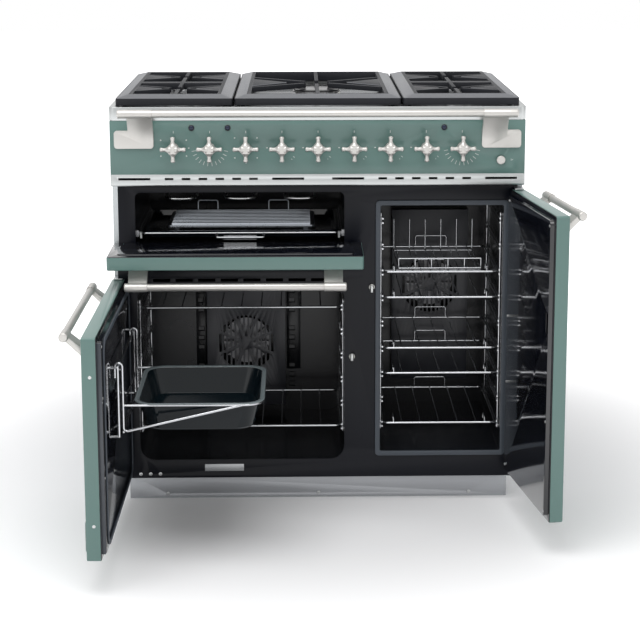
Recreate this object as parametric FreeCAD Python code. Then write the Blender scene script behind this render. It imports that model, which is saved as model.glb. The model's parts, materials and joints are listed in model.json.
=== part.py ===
import FreeCAD, Part
import math
import os

from FreeCAD import Vector as V

# Range cooker, 900 mm wide, with a gas hob, a grill compartment, a wide oven and a tall oven.
# X runs to the right, Y to the back and Z up. The origin is the middle of the footprint, on
# the floor. "In" values are depths measured back from the front of the control panel, and
# every size is in millimetres. The doors stand open, as they are shown.

# ---- cabinet ------------------------------------------------------------------------------
WIDTH = 900.0
DEPTH = 600.0
HOB_TOP = 905.0
SHEET = 1.2
ENAMEL = 1.5
GAP = 0.3
SEAM = 1.0
SIDE_FLANGE = 11.0
FRONT = -DEPTH / 2
BACK = DEPTH / 2
HALF = WIDTH / 2
SIDE_INNER = HALF - SHEET

# ---- base, plinth and feet ----------------------------------------------------------------
BASE_HEIGHT = 57.0
BASE_FLANGE = 18.0
BASE_IN = 77.0
BASE_SHEET = 1.5
BASE_INSET = 20.0
BASE_Y = FRONT + BASE_IN
PLINTH_TOP = BASE_HEIGHT - SEAM
PLINTH_FOOT = 2.0
PLINTH_SCREW_Z = 11.2
PLINTH_SCREW_SPREAD = 0.8
FOOT_RADIUS = 19.0
FOOT_PAD = 8.0
FOOT_STEM_RADIUS = 5.0
FOOT_NUT = 8.0
FOOT_INSET = 52.0

# ---- control panel and vent strip ---------------------------------------------------------
PANEL_DROP = 29.5
PANEL_HEIGHT = 116.5
STRIP_HEIGHT = 26.0
STRIP_LIP = 4.0
PANEL_TOP = HOB_TOP - PANEL_DROP
STRIP_TOP = PANEL_TOP - PANEL_HEIGHT
STRIP_FOOT = STRIP_TOP - STRIP_HEIGHT
VENT_LONG = 69.0
VENT_SHORT = 18.6
VENT_HEIGHT = 5.0
VENT_DROP = 10.0
VENT_MIDDLE_X = 65.0
VENT_SIDE_X = HALF - 52.5
VENT_STEP = 75.0
VENT_SHORT_COUNT = 6
VENT_SHORT_PITCH = (VENT_SIDE_X - VENT_MIDDLE_X - 2 * VENT_STEP) / (VENT_SHORT_COUNT - 1)

# ---- front frame and the three openings ---------------------------------------------------
FRAME_IN = 46.0
FRAME_Y = FRONT + FRAME_IN
OVEN_DEPTH = DEPTH - FRAME_IN - 154.0
OVEN_BACK = FRAME_Y + OVEN_DEPTH
DOOR_FOOT = BASE_HEIGHT + 18.0
DOOR_TOP = STRIP_FOOT - 13.0
OVEN_SPLIT = 97.0
OVEN_LEFT = -HALF + 48.0
OVEN_RIGHT = OVEN_SPLIT - 39.0
OVEN_MIDDLE = (OVEN_LEFT + OVEN_RIGHT) / 2
TALL_LEFT = OVEN_SPLIT + 41.0
TALL_RIGHT = HALF - 40.0
TALL_MIDDLE = (TALL_LEFT + TALL_RIGHT) / 2
TALL_FLOOR = DOOR_FOOT + 44.0
TALL_ROOF = DOOR_TOP - 38.0
TALL_CORNER = 4.0
GRILL_HEIGHT = 154.0
GRILL_ROOF = DOOR_TOP - 8.0
GRILL_FLOOR = GRILL_ROOF - GRILL_HEIGHT
GRILL_CORNER = 12.0
RAIL_IN = 10.0
RAIL_HEIGHT = 21.5
RAIL_TOP = GRILL_FLOOR - 9.0
RAIL_FOOT = RAIL_TOP - RAIL_HEIGHT
MAIN_FLOOR = DOOR_FOOT + 26.0
MAIN_ROOF = RAIL_FOOT - 24.5
MAIN_CORNER = 32.0
SLOT_COUNT = 8
SLOT_LENGTH = 38.0
SLOT_HEIGHT = 7.0
SLOT_PITCH = 50.0
SLOT_ROW_Z = (MAIN_ROOF + RAIL_FOOT) / 2
SIDE_TRIM_SCREW_PITCH = 22.0
GASKET_WIDTH = 11.0

# ---- hob ----------------------------------------------------------------------------------
HOB_SKIRT = 29.0
HOB_CORNER = 12.0
HOB_RIM = 13.0
HOB_WELL = 8.0
HOB_FOOT = HOB_TOP - HOB_SKIRT
WELL_TOP = HOB_TOP - HOB_WELL
SUPPORT_TOP = HOB_TOP + 24.0
SUPPORT_FRAME = 15.0
SUPPORT_BAND = 34.0
SUPPORT_STEP = 7.0
SUPPORT_INSET = 14.0
SUPPORT_FINGER = 8.0
SUPPORT_FINGER_HEIGHT = 11.0
SUPPORT_SEAM = 4.0
SUPPORT_CENTRE = 364.0
SUPPORT_CORNER = 6.0
FINGER_REACH = 0.62
FINGER_SPREAD = 0.45
SIDE_BURNER_X = (HALF - SUPPORT_INSET + SUPPORT_CENTRE / 2) / 2
BURNER_FRONT_Y = FRONT + DEPTH * 0.28
BURNER_REAR_Y = FRONT + DEPTH * 0.72
BURNER_SMALL = 30.0
BURNER_MEDIUM = 38.0
BURNER_LARGE = 56.0
BURNER_HEIGHT = 13.0
BURNER_CAP = 5.0
BURNER_FOOT = 4.0
BURNER_CUP = 24.0
BURNER_THROAT = 14.0
BURNER_TAPER = 0.8
CAP_SHARE = 0.94

# ---- knobs, lenses and light button -------------------------------------------------------
KNOB_COUNT = 9
KNOB_SIDE = 138.4
KNOB_PITCH = (WIDTH - 2 * KNOB_SIDE) / (KNOB_COUNT - 1)
KNOB_XS = [(i - (KNOB_COUNT - 1) / 2) * KNOB_PITCH for i in range(KNOB_COUNT)]
KNOB_Z = PANEL_TOP - 59.0
KNOB_REACH = 28.0
KNOB_HUB = 12.5
KNOB_NECK = 9.0
KNOB_SKIRT = 13.6
KNOB_SKIRT_LENGTH = 5.0
KNOB_LENGTH = 36.0
KNOB_ARM = 3.6
KNOB_BALL = 4.6
KNOB_ARM_OUT = 26.0
KNOB_EDGE = 2.8
SPINDLE = 4.0
SPINDLE_OUT = 20.0
SPINDLE_FIT = 0.06
SPINDLE_CLEAR = 1.5
LENS_RADIUS = 6.0
LENS_TIP = 3.6
LENS_Z = PANEL_TOP - 15.5
LENS_BESIDE = (0, 1, 7)
LENS_X = [KNOB_XS[i] + KNOB_PITCH / 2 for i in LENS_BESIDE]
BUTTON_RADIUS = 9.5
BUTTON_X = HALF - 54.0
BUTTON_Z = KNOB_Z - 27.5
BUTTON_OUT = 7.0
BUTTON_STEM = 4.0
BUTTON_TRAVEL = 3.0

# ---- doors --------------------------------------------------------------------------------
DOOR_IN = 4.0
DOOR_SHELL = 28.0
DOOR_SKIN = 1.5
DOOR_LINER = 10.0
DOOR_CORNER = 5.0
DOOR_EDGE = 2.5
DOOR_SIDE = 1.5
DOOR_SPLIT = 4.0
LINER_INSET = 11.0
LINER_Y = FRONT + DOOR_IN + DOOR_SHELL
LINER_FACE = LINER_Y + DOOR_LINER
SEAL_WIDTH = 9.0
GRILL_LINER = 4.0
GRILL_LINER_INSET = 20.0
TOE_RIB_FOOT = DOOR_FOOT + 10.0
TOE_RIB_TOP = DOOR_FOOT + 71.0
TOE_RIB_OUT = 4.5
TOE_RIB_INSET = 26.0
PIN_X = HALF - 10.0
PIN_Y = FRONT + 18.0
PIN_RADIUS = 4.0
PIN_CLEAR = 0.3
PIN_REACH = 12.0
BRACKET_PLATE = 3.0
BRACKET_WIDTH = 20.0
DOOR_OUTER_X = HALF - DOOR_SIDE
MAIN_X = (-DOOR_OUTER_X, OVEN_SPLIT - DOOR_SPLIT / 2)
TALL_X = (OVEN_SPLIT + DOOR_SPLIT / 2, DOOR_OUTER_X)
MAIN_Z = (DOOR_FOOT, RAIL_FOOT - BRACKET_PLATE - SEAM)
TALL_Z = (DOOR_FOOT, DOOR_TOP)
GRILL_Z = (GRILL_FLOOR - 5.5, DOOR_TOP)
GRILL_PIN_Y = FRONT + 10.0
GRILL_PIN_Z = GRILL_Z[0] + 27.0
GRILL_PIN_RADIUS = 3.0
GRILL_ARM_INSET = 24.0
GRILL_ARM_HALF = 4.0
GRILL_LUG = 5.0
GRILL_LUG_SIDE = 12.0
CATCH_INSET = 20.0
CATCH_HALF = 5.5
CATCH_POCKET = 7.5
CATCH_HEIGHT = 30.0
CATCH_OUT = 6.0
CATCH_CHEEK = 4.0
ROLLER_RADIUS = 4.5
ROLLER_LENGTH = 16.0
MAIN_CATCH_UP = 40.0
TALL_CATCH_UP = 98.0
MAIN_OPEN_ANGLE = 90.5
TALL_OPEN_ANGLE = 98.0
GRILL_OPEN_ANGLE = 90.0

# ---- handrail and door handles ------------------------------------------------------------
BAR_RADIUS = 8.0
SLEEVE_RADIUS = 9.4
SLEEVE_FIT = 0.08
SLEEVE_SOCKET = 0.6
SLEEVE_EDGE = 3.3
RAIL_Z = HOB_TOP - 10.0
RAIL_OUT = 40.0
RAIL_END_INSET = 22.0
RAIL_OVERHANG = 20.0
RAIL_BRACKET = 54.0
RAIL_FOOT_WIDTH = 85.0
RAIL_FOOT_Z = (HOB_TOP - 89.0, HOB_TOP - 50.0)
BRACKET_CORNER = 7.0
BRACKET_THICK = 6.0
HANDLE_OUT = 38.0
HANDLE_DROP = 8.5
HANDLE_FOOT = (58.0, 24.0)
HANDLE_BRACKET = 40.0
HANDLE_OVERHANG = 8.0
HANDLE_MARGIN = 36.0

# ---- oven racks, shelves and fans ---------------------------------------------------------
RACK_POST = 2.0
RACK_POST_WALL = 0.5
RACK_LENGTH = 0.8 * OVEN_DEPTH
RACK_POST_INSET = 19.0
RUNG_RADIUS = 1.8
RUNG_WALL = 5.8
RUNG_PAIR = 9.7
MAIN_RUNG_LOW = MAIN_FLOOR + 66.0
MAIN_RUNG_COUNT = 6
MAIN_RUNG_PITCH = (MAIN_ROOF - 60.0 - MAIN_RUNG_LOW) / (MAIN_RUNG_COUNT - 1)
MAIN_SHELF_RUNGS = (0, 5)
TALL_RUNG_LOW = TALL_FLOOR + 53.0
TALL_RUNG_COUNT = 9
TALL_RUNG_PITCH = (TALL_ROOF - 42.8 - TALL_RUNG_LOW) / (TALL_RUNG_COUNT - 1)
TALL_SHELF_RUNGS = (0, 2, 3, 5, 6)
RACK_START = FRAME_Y + 16.0
SHELF_ROD = 2.5
SHELF_BAR = 1.6
SHELF_WALL = 8.2
SHELF_START = FRAME_Y + 28.0
SHELF_DEPTH = 0.75 * OVEN_DEPTH
SHELF_BEND = 12.0
SHELF_LOOP = 74.0
SHELF_LOOP_RISE = 26.0
MAIN_SHELF_BARS = 9
TALL_SHELF_BARS = 5
PLATE_RACK_SHARE = 0.34
PLATE_RACK_DEPTH = 0.7 * SHELF_DEPTH
PLATE_RACK_FRONT = 22.0
PLATE_RACK_BACK = 74.0
PLATE_RACK_HOOPS = 6
FAN_Z_MAIN = MAIN_FLOOR + 182.0
FAN_Z_TALL = TALL_FLOOR + 308.0
FAN_GRILLE = 69.0
FAN_RADIUS = 56.0
FAN_BLADES = 10
FAN_BLADE_ROOT = 31.0
FAN_HUB = 11.0
FAN_THICK = 20.0
FAN_SHAFT = 4.0
FAN_BEHIND = 12.3
COVER_OUT = 44.0
COVER_MAIN = (190.0, MAIN_ROOF - MAIN_FLOOR - 52.0)
COVER_TALL = (184.0, TALL_ROOF - TALL_FLOOR - 143.0)
COVER_VENTS = 3
COVER_VENT_SHARE = 0.2
COVER_VENT_FIRST = 0.12
COVER_VENT_STEP = 0.29
GRILLE_SLOT = 6.0
GRILLE_PITCH = 10.5
GRILLE_SPOKE = 7.0
GRILLE_BOSS = 17.0
GRILLE_SPOKES = 4
MOTOR_RADIUS = 34.0
MOTOR_LENGTH = 42.0
ELEMENT_RADIUS = 3.5
ELEMENT_LEG = 8.5
ELEMENT_TAIL = 11.0
RING_ELEMENT = 76.0

# ---- grill compartment --------------------------------------------------------------------
RUNNER_Z = GRILL_FLOOR + 60.0
RUNNER_HEIGHT = 14.0
RUNNER_THICK = 6.0
RUNNER_LENGTH = 0.825 * OVEN_DEPTH
SLIDE_THICK = 4.0
SLIDE_HEIGHT = 8.0
CARRIER_START = FRAME_Y + 16.0
CARRIER_ROD = 3.0
CARRIER_DEPTH = 0.775 * OVEN_DEPTH
PAN_CLEAR = 5.0
PAN_DEPTH = 0.69 * OVEN_DEPTH
PAN_FLOOR = RUNNER_Z - 10.0
PAN_SHEET = 1.2
PAN_CORNER = 26.0
TRIVET_LENGTH = OVEN_RIGHT - OVEN_LEFT - 130.0
TRIVET_DEPTH = PAN_DEPTH - 86.0
TRIVET_SLAB = 5.0
TRIVET_RIBS = 10
TRIVET_RIB_HEIGHT = 5.0
TRIVET_LOOP = 46.0
TRIVET_LOOP_RISE = 30.0
DROP_HANDLE = 104.0
DROP_HANDLE_ROD = 2.4
DROP_HANDLE_FALL = 7.2
GRIP_LENGTH = 72.0
GRIP_HALF_HEIGHT = 4.8
GRILL_ELEMENT_DROP = 20.0
GRILL_ELEMENT_HALF = 0.36 * (OVEN_RIGHT - OVEN_LEFT)
GRILL_ELEMENT_RODS = 6
GRILL_ELEMENT_BEND = 0.42

# ---- roasting carrier and tin, hung on the open main door ---------------------------------
CARRIER_WIRE = 2.5
CARRIER_BRACE = 2.1
HOOK_WIDTH = 15.0
LADDER_OUT = 14.0
LADDER_X = (56.0, 382.0)
LADDER_RUNG_Z = (MAIN_FLOOR + 181.0, MAIN_FLOOR + 324.0)
TIN_X = (72.0, 364.0)
TIN_START = 46.0
TIN_WIDTH = 252.0
TIN_FLOOR = LADDER_RUNG_Z[0] + 2.0
TIN_HEIGHT = 62.0
TIN_TAPER = 16.0
TIN_CORNER = 40.0
TIN_SHEET = 1.2
TIN_RIM = 6.0
TIN_RIBS = 9

# ---- gas and mains ------------------------------------------------------------------------
GAS_RAIL_RADIUS = 9.0
GAS_RAIL_Y = FRONT + 62.0
TAP_BODY = 26.0
TAP_LENGTH = 30.0
GAS_THREAD_RADIUS = 9.3
GAS_THREAD_DEPTH = 18.0
GAS_INLET_LENGTH = 26.0
GAS_INLET_X = HALF - 40.0
GAS_SOCKET_RADIUS = 15.3
FIRST_TAP = 3
LAST_TAP = 7
TERMINAL_WIDTH = 110.0
TERMINAL_HEIGHT = 80.0
TERMINAL_DEPTH = 34.0
TERMINAL_X = -HALF + 120.0
TERMINAL_Z = BASE_HEIGHT + 53.0
TERMINAL_WALL = 5.0
GLAND_RADIUS = 14.0
GLAND_BORE = 8.4
GLAND_LENGTH = 12.0
SCREW_HEAD = 4.0
SCREW_HEAD_HEIGHT = 2.0
SCREW_SHANK = 1.8
SCREW_LENGTH = 8.0


# ---- shape helpers ------------------------------------------------------------------------
def block(x, y, z):
    """Box between pairs of coordinates."""
    return Part.makeBox(x[1] - x[0], y[1] - y[0], z[1] - z[0], V(x[0], y[0], z[0]))


def rod(start, end, radius):
    """Round rod between two points."""
    run = end.sub(start)
    return Part.makeCylinder(radius, run.Length, start, run)


def ball(centre, radius):
    return Part.makeSphere(radius, centre)


def fused(shapes):
    """One solid from pieces that overlap."""
    whole = shapes[0]
    for shape in shapes[1:]:
        whole = whole.fuse(shape)
    return whole.removeSplitter()


def edges_along(shape, axis):
    """Straight edges that run along an axis."""
    found = []
    for edge in shape.Edges:
        run = edge.Vertexes[-1].Point.sub(edge.Vertexes[0].Point)
        if run.Length > 0 and abs(run.dot(axis)) > 0.9999 * run.Length:
            found.append(edge)
    return found


def rounded(x, y, z, axis, radius):
    """Box whose edges along one axis are rounded."""
    shape = block(x, y, z)
    return shape.makeFillet(radius, edges_along(shape, axis))


def grown(span, by):
    return (span[0] - by, span[1] + by)


def bent_rod(points, radius, bend):
    """Rod bent at each inner point, with an arc of the given radius at its centre line."""
    edges = []
    start = points[0]
    for before, corner, after in zip(points, points[1:], points[2:]):
        arrive = corner.sub(before).normalize()
        leave = after.sub(corner).normalize()
        turn = arrive.getAngle(leave)
        back_off = bend * math.tan(turn / 2)
        first = corner.sub(V(arrive).multiply(back_off))
        last = corner.add(V(leave).multiply(back_off))
        inward = V(leave).sub(arrive).normalize()
        middle = corner.add(inward.multiply(bend / math.cos(turn / 2) - bend))
        if first.sub(start).Length > 0.01:
            edges.append(Part.LineSegment(start, first).toShape())
        edges.append(Part.Arc(first, middle, last).toShape())
        start = last
    edges.append(Part.LineSegment(start, points[-1]).toShape())
    path = Part.Wire(edges)
    heading = points[1].sub(points[0])
    profile = Part.Wire(Part.makeCircle(radius, points[0], heading))
    return path.makePipeShell([profile], True, False)


def export(name, shapes):
    """Write one named piece, or a group of alike pieces, to its own file."""
    solids = [solid for shape in shapes for solid in shape.Solids]
    Part.makeCompound(solids).exportStep("parts/" + name + ".step")


# ---- turning a door from closed to the open pose that is shown ----------------------------
def open_main(shape):
    shape.rotate(V(-PIN_X, PIN_Y, 0), V(0, 0, 1), -MAIN_OPEN_ANGLE)
    return shape


def open_tall(shape):
    shape.rotate(V(PIN_X, PIN_Y, 0), V(0, 0, 1), TALL_OPEN_ANGLE)
    return shape


def open_grill(shape):
    shape.rotate(V(0, GRILL_PIN_Y, GRILL_PIN_Z), V(1, 0, 0), GRILL_OPEN_ANGLE)
    return shape


# ---- cabinet ------------------------------------------------------------------------------
def base_frame():
    """Folded tray under the cabinet: a flange on the floor, four webs and a floor sheet on top."""
    x = (-HALF + BASE_INSET, HALF - BASE_INSET)
    y = (BASE_Y, BACK - SHEET)
    ring = block(x, y, (0, BASE_HEIGHT))
    web = block(grown(x, -BASE_SHEET), grown(y, -BASE_SHEET), (BASE_SHEET, BASE_HEIGHT - BASE_SHEET))
    inside = block(grown(x, -BASE_FLANGE), grown(y, -BASE_FLANGE), (-SEAM, BASE_HEIGHT / 2))
    return ring.cut([web, inside] + plinth_screw_holes())


def levelling_feet():
    """Four screw feet wound in level with the base, in the corners of the ring."""
    feet = []
    for x in (-HALF + FOOT_INSET + BASE_FLANGE, HALF - FOOT_INSET - BASE_FLANGE):
        for y in (BASE_Y + FOOT_INSET, BACK - FOOT_INSET):
            pad = Part.makeCylinder(FOOT_RADIUS, FOOT_PAD, V(x, y, 0))
            top = BASE_HEIGHT - BASE_SHEET
            stem = Part.makeCylinder(FOOT_STEM_RADIUS, top - FOOT_PAD, V(x, y, FOOT_PAD))
            nut = block(grown((x, x), FOOT_NUT), grown((y, y), FOOT_NUT), (top - FOOT_NUT, top))
            feet.append(fused([pad, stem, nut]))
    return feet


def plinth_screw_places():
    side = (HALF - BASE_INSET) * PLINTH_SCREW_SPREAD
    return [V(x, BASE_Y, PLINTH_SCREW_Z) for x in (-side, 0, side)]


def plinth_screw_holes():
    reach = BASE_FLANGE
    return [Part.makeCylinder(SCREW_SHANK + GAP, reach, p - V(0, reach / 2, 0), V(0, 1, 0))
            for p in plinth_screw_places()]


def plinth():
    """Stainless kick strip screwed to the front of the base ring."""
    side = HALF - BASE_INSET
    face = block((-side, side), (BASE_Y - SHEET, BASE_Y), (PLINTH_FOOT, PLINTH_TOP))
    return face.cut(plinth_screw_holes())


def side_panel(side):
    """Folded side sheet with a narrow flange that shows beside the doors."""
    outer = side * HALF
    inner = side * SIDE_INNER
    x = (min(outer, inner), max(outer, inner))
    z = (BASE_HEIGHT, HOB_FOOT)
    sheet = block(x, (FRAME_Y, BACK - SHEET), z)
    lip = side * (HALF - SIDE_FLANGE)
    flange_x = (min(outer, lip), max(outer, lip))
    flange = block(flange_x, (FRAME_Y, FRAME_Y + SHEET), (BASE_HEIGHT, STRIP_FOOT))
    floor_lip = side * (HALF - SIDE_FLANGE - BASE_FLANGE)
    foot_x = (min(outer, floor_lip), max(outer, floor_lip))
    foot = block(foot_x, (FRAME_Y, BACK - SHEET), (BASE_HEIGHT, BASE_HEIGHT + SHEET))
    return fused([sheet, flange, foot])


def back_panel():
    """Rear sheet with a row of louvre slots, the gas pipe hole and the mains hole."""
    sheet = block((-HALF, HALF), (BACK - SHEET, BACK), (BASE_HEIGHT, HOB_FOOT))
    cuts = []
    for i in range(SLOT_COUNT):
        x = (i - (SLOT_COUNT - 1) / 2) * SLOT_PITCH * 2
        z = KNOB_Z - SLOT_PITCH
        slot = (grown((x, x), SLOT_LENGTH / 2), grown((BACK, BACK), 2 * SHEET))
        cuts.append(block(slot[0], slot[1], (z, z + SLOT_HEIGHT)))
    hole = V(GAS_INLET_X, BACK - 2 * SHEET, KNOB_Z)
    cuts.append(Part.makeCylinder(GAS_RAIL_RADIUS + SEAM, 4 * SHEET, hole, V(0, 1, 0)))
    return sheet.cut(cuts)


def rib_slots(floor, count):
    cuts = []
    for i in range(count):
        x = OVEN_MIDDLE + (i - (count - 1) / 2) * SLOT_PITCH
        y = (FRAME_Y - SEAM, FRAME_Y + ENAMEL + SEAM)
        cuts.append(block(grown((x, x), SLOT_LENGTH / 2), y, (floor, floor + SLOT_HEIGHT)))
    return cuts


def frame_screw_places():
    z = (MAIN_FLOOR + 3 * BASE_HEIGHT) / 4
    return [V(OVEN_LEFT + step * SIDE_TRIM_SCREW_PITCH, FRAME_Y, z) for step in (0, 1, 2)]


def opening(x, z, corner, depth):
    """Round-cornered hole through the front frame."""
    y = (FRAME_Y - depth, FRAME_Y + depth)
    return rounded(x, y, z, V(0, 1, 0), corner)


def front_frame():
    """Black enamelled front with its three openings, a vent slot row and a rail between doors."""
    lip = HALF - SIDE_FLANGE
    face = block((-lip, lip), (FRAME_Y, FRAME_Y + ENAMEL), (BASE_HEIGHT + SHEET, STRIP_FOOT))
    rail_x = (-lip, OVEN_SPLIT)
    rail = block(rail_x, (FRONT + RAIL_IN, FRAME_Y), (RAIL_FOOT, RAIL_TOP))
    groove_y = (FRONT + RAIL_IN + ENAMEL, FRAME_Y)
    groove_z = (RAIL_FOOT - SEAM, RAIL_TOP - ENAMEL)
    groove = block(grown(rail_x, SEAM), groove_y, groove_z)
    whole = fused([face, rail.cut(groove)])
    depth = 2 * ENAMEL
    cuts = [
        opening((OVEN_LEFT, OVEN_RIGHT), (MAIN_FLOOR, MAIN_ROOF), MAIN_CORNER, depth),
        opening((OVEN_LEFT, OVEN_RIGHT), (GRILL_FLOOR, GRILL_ROOF), GRILL_CORNER, depth),
        opening((TALL_LEFT, TALL_RIGHT), (TALL_FLOOR, TALL_ROOF), TALL_CORNER, depth),
    ]
    cuts += rib_slots(SLOT_ROW_Z - SLOT_HEIGHT / 2, SLOT_COUNT)
    for place in frame_screw_places():
        start = place - V(0, ENAMEL, 0)
        cuts.append(Part.makeCylinder(SCREW_SHANK + GAP, 3 * ENAMEL, start, V(0, 1, 0)))
    return whole.cut(cuts)


# ---- ovens --------------------------------------------------------------------------------
def cavity(x, z, corner, back_holes):
    """Enamelled box, open to the front, behind its opening in the frame."""
    y = FRAME_Y + ENAMEL
    axis = V(0, 1, 0)
    outer = rounded(grown(x, ENAMEL), (y, OVEN_BACK + ENAMEL), grown(z, ENAMEL), axis, corner + ENAMEL)
    inner = rounded(x, (y - SEAM, OVEN_BACK), z, axis, corner)
    return outer.cut([inner] + back_holes)


def back_hole(x, z, radius):
    return Part.makeCylinder(radius, 3 * ENAMEL, V(x, OVEN_BACK - ENAMEL, z), V(0, 1, 0))


def grille_slots(x, z, y):
    """Upright slots inside a circle, broken by an eight-armed star."""
    tall = 2 * FAN_GRILLE
    count = int(FAN_GRILLE / GRILLE_PITCH)
    slots = []
    for i in range(-count, count + 1):
        centre = x + i * GRILLE_PITCH
        slots.append(block(grown((centre, centre), GRILLE_SLOT / 2), y, grown((z, z), tall / 2)))
    disc = Part.makeCylinder(FAN_GRILLE, y[1] - y[0], V(x, y[0], z), V(0, 1, 0))
    boss = Part.makeCylinder(GRILLE_BOSS, y[1] - y[0], V(x, y[0], z), V(0, 1, 0))
    star = [boss]
    for i in range(GRILLE_SPOKES):
        arm = block(grown((x, x), tall), y, grown((z, z), GRILLE_SPOKE / 2))
        arm.rotate(V(x, 0, z), V(0, 1, 0), (i + 0.5) * 180 / GRILLE_SPOKES)
        star.append(arm)
    return Part.makeCompound(slots).common(disc).cut(star)


def fan_cover(fan_x, fan_z, middle_z, size):
    """Baffle tray over the fan on the oven's back wall, with the pierced grille."""
    width, height = size
    face = OVEN_BACK - COVER_OUT
    x = grown((fan_x, fan_x), width / 2)
    z = grown((middle_z, middle_z), height / 2)
    tray = block(x, (face, OVEN_BACK), z)
    hollow = block(grown(x, -ENAMEL), (face + ENAMEL, OVEN_BACK + SEAM), grown(z, -ENAMEL))
    slot_y = (face - SEAM, face + ENAMEL + SEAM)
    vents = []
    for edge in x:
        for i in range(COVER_VENTS):
            low = z[0] + height * (COVER_VENT_FIRST + COVER_VENT_STEP * i)
            vent_y = grown((face + COVER_OUT / 2, face + COVER_OUT / 2), COVER_OUT / 4)
            vent_z = (low, low + height * COVER_VENT_SHARE)
            vents.append(block(grown((edge, edge), 2 * ENAMEL), vent_y, vent_z))
    return tray.cut([hollow, grille_slots(fan_x, fan_z, slot_y)] + vents)


def fan(x, z):
    """Impeller on its hub, with straight blades on a back disc."""
    back = OVEN_BACK - FAN_BEHIND
    front = back - FAN_THICK
    axis = V(0, 1, 0)
    disc = Part.makeCylinder(FAN_RADIUS, ENAMEL, V(x, back - ENAMEL, z), axis)
    hub = Part.makeCylinder(FAN_HUB, FAN_THICK, V(x, front, z), axis)
    pieces = [disc, hub]
    for i in range(FAN_BLADES):
        blade_x = (x + FAN_BLADE_ROOT, x + FAN_RADIUS - SEAM)
        blade = block(blade_x, (front, back), grown((z, z), ENAMEL / 2))
        blade.rotate(V(x, 0, z), axis, 360.0 * i / FAN_BLADES)
        pieces.append(blade)
    bore = Part.makeCylinder(FAN_SHAFT + SPINDLE_FIT, FAN_THICK, V(x, front + ENAMEL, z), axis)
    return fused(pieces).cut(bore)


def fan_motor(x, z):
    """Motor can outside the back wall, with the shaft that carries the fan."""
    can = Part.makeCylinder(MOTOR_RADIUS, MOTOR_LENGTH, V(x, OVEN_BACK + ENAMEL, z), V(0, 1, 0))
    start = OVEN_BACK - FAN_BEHIND - FAN_THICK + ENAMEL + SEAM
    shaft = rod(V(x, start, z), V(x, OVEN_BACK + 2 * ENAMEL, z), FAN_SHAFT)
    return fused([can, shaft])


def ring_element(x, z):
    """Ring heating element round the fan, with two straight ends through the back wall."""
    y = OVEN_BACK - COVER_OUT / 2
    top = z + RING_ELEMENT
    ring = Part.makeTorus(RING_ELEMENT, ELEMENT_RADIUS, V(x, y, z), V(0, 1, 0))
    out = OVEN_BACK + ENAMEL + ELEMENT_TAIL
    ends = [rod(V(x + s, y, top), V(x + s, out, top), ELEMENT_RADIUS) for s in (-ELEMENT_LEG, ELEMENT_LEG)]
    return fused([ring] + ends)


def rack(wall, side, low, pitch, count):
    """Wire ladder on an oven wall: two posts and pairs of rungs that hold the shelves."""
    post_x = wall + side * (RACK_POST_WALL + RACK_POST)
    rung_x = wall + side * RUNG_WALL
    y = (RACK_START, RACK_START + RACK_LENGTH)
    posts = (y[0] + RACK_POST_INSET, y[1] - RACK_POST_INSET)
    top = low + (count - 1) * pitch + RUNG_PAIR
    z = (low - RUNG_PAIR, top + RUNG_PAIR)
    pieces = [rod(V(post_x, p, z[0]), V(post_x, p, z[1]), RACK_POST) for p in posts]
    for i in range(count):
        for lift in (0, RUNG_PAIR):
            level = low + i * pitch + lift
            pieces.append(rod(V(rung_x, y[0], level), V(rung_x, y[1], level), RUNG_RADIUS))
    for p in posts:
        for level in (z[0] + RUNG_PAIR / 2, z[1] - RUNG_PAIR / 2):
            pieces.append(rod(V(wall, p, level), V(post_x, p, level), RACK_POST))
    return fused(pieces)


def rung_seat(low, pitch, step):
    """Height of a shelf rod that rests on the shoulder of a rung."""
    reach = RUNG_RADIUS + SHELF_ROD + GAP
    across = SHELF_WALL - RUNG_WALL
    return low + step * pitch + math.sqrt(reach ** 2 - across ** 2)


def shelf(walls, z, bars, stops):
    """Wire shelf: a bent frame rod, thinner bars front to back and a raised loop behind."""
    x = grown(walls, -SHELF_WALL)
    y = (SHELF_START, SHELF_START + SHELF_DEPTH)
    middle = (x[0] + x[1]) / 2
    pieces = []
    for edge in x:
        half = [V(middle, y[0], z), V(edge, y[0], z), V(edge, y[1], z), V(middle, y[1], z)]
        pieces.append(bent_rod(half, SHELF_ROD, SHELF_BEND))
    pitch = (x[1] - x[0]) / (bars + 1)
    for i in range(bars):
        at = x[0] + pitch * (i + 1)
        pieces.append(rod(V(at, y[0], z), V(at, y[1], z), SHELF_BAR))
    pieces.append(upright_loop(middle, SHELF_LOOP, y[1], z, SHELF_LOOP_RISE, SHELF_BAR))
    if stops:
        for edge in grown(x, -2 * SHELF_BEND):
            end = y[0] + 3 * SHELF_BEND
            rise = z + SHELF_BEND
            stub = [V(edge, y[0], z), V(edge, y[0], rise), V(edge, end, rise), V(edge, end, z)]
            pieces.append(bent_rod(stub, SHELF_BAR, SHELF_BEND / 3))
    return fused(pieces)


def upright_loop(x, width, y, z, rise, radius):
    """Wire loop that stands up from a rod or a plate."""
    left, right = x - width / 2, x + width / 2
    top = z + rise
    return bent_rod([V(left, y, z), V(left, y, top), V(right, y, top), V(right, y, z)], radius, 3 * radius)


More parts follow.
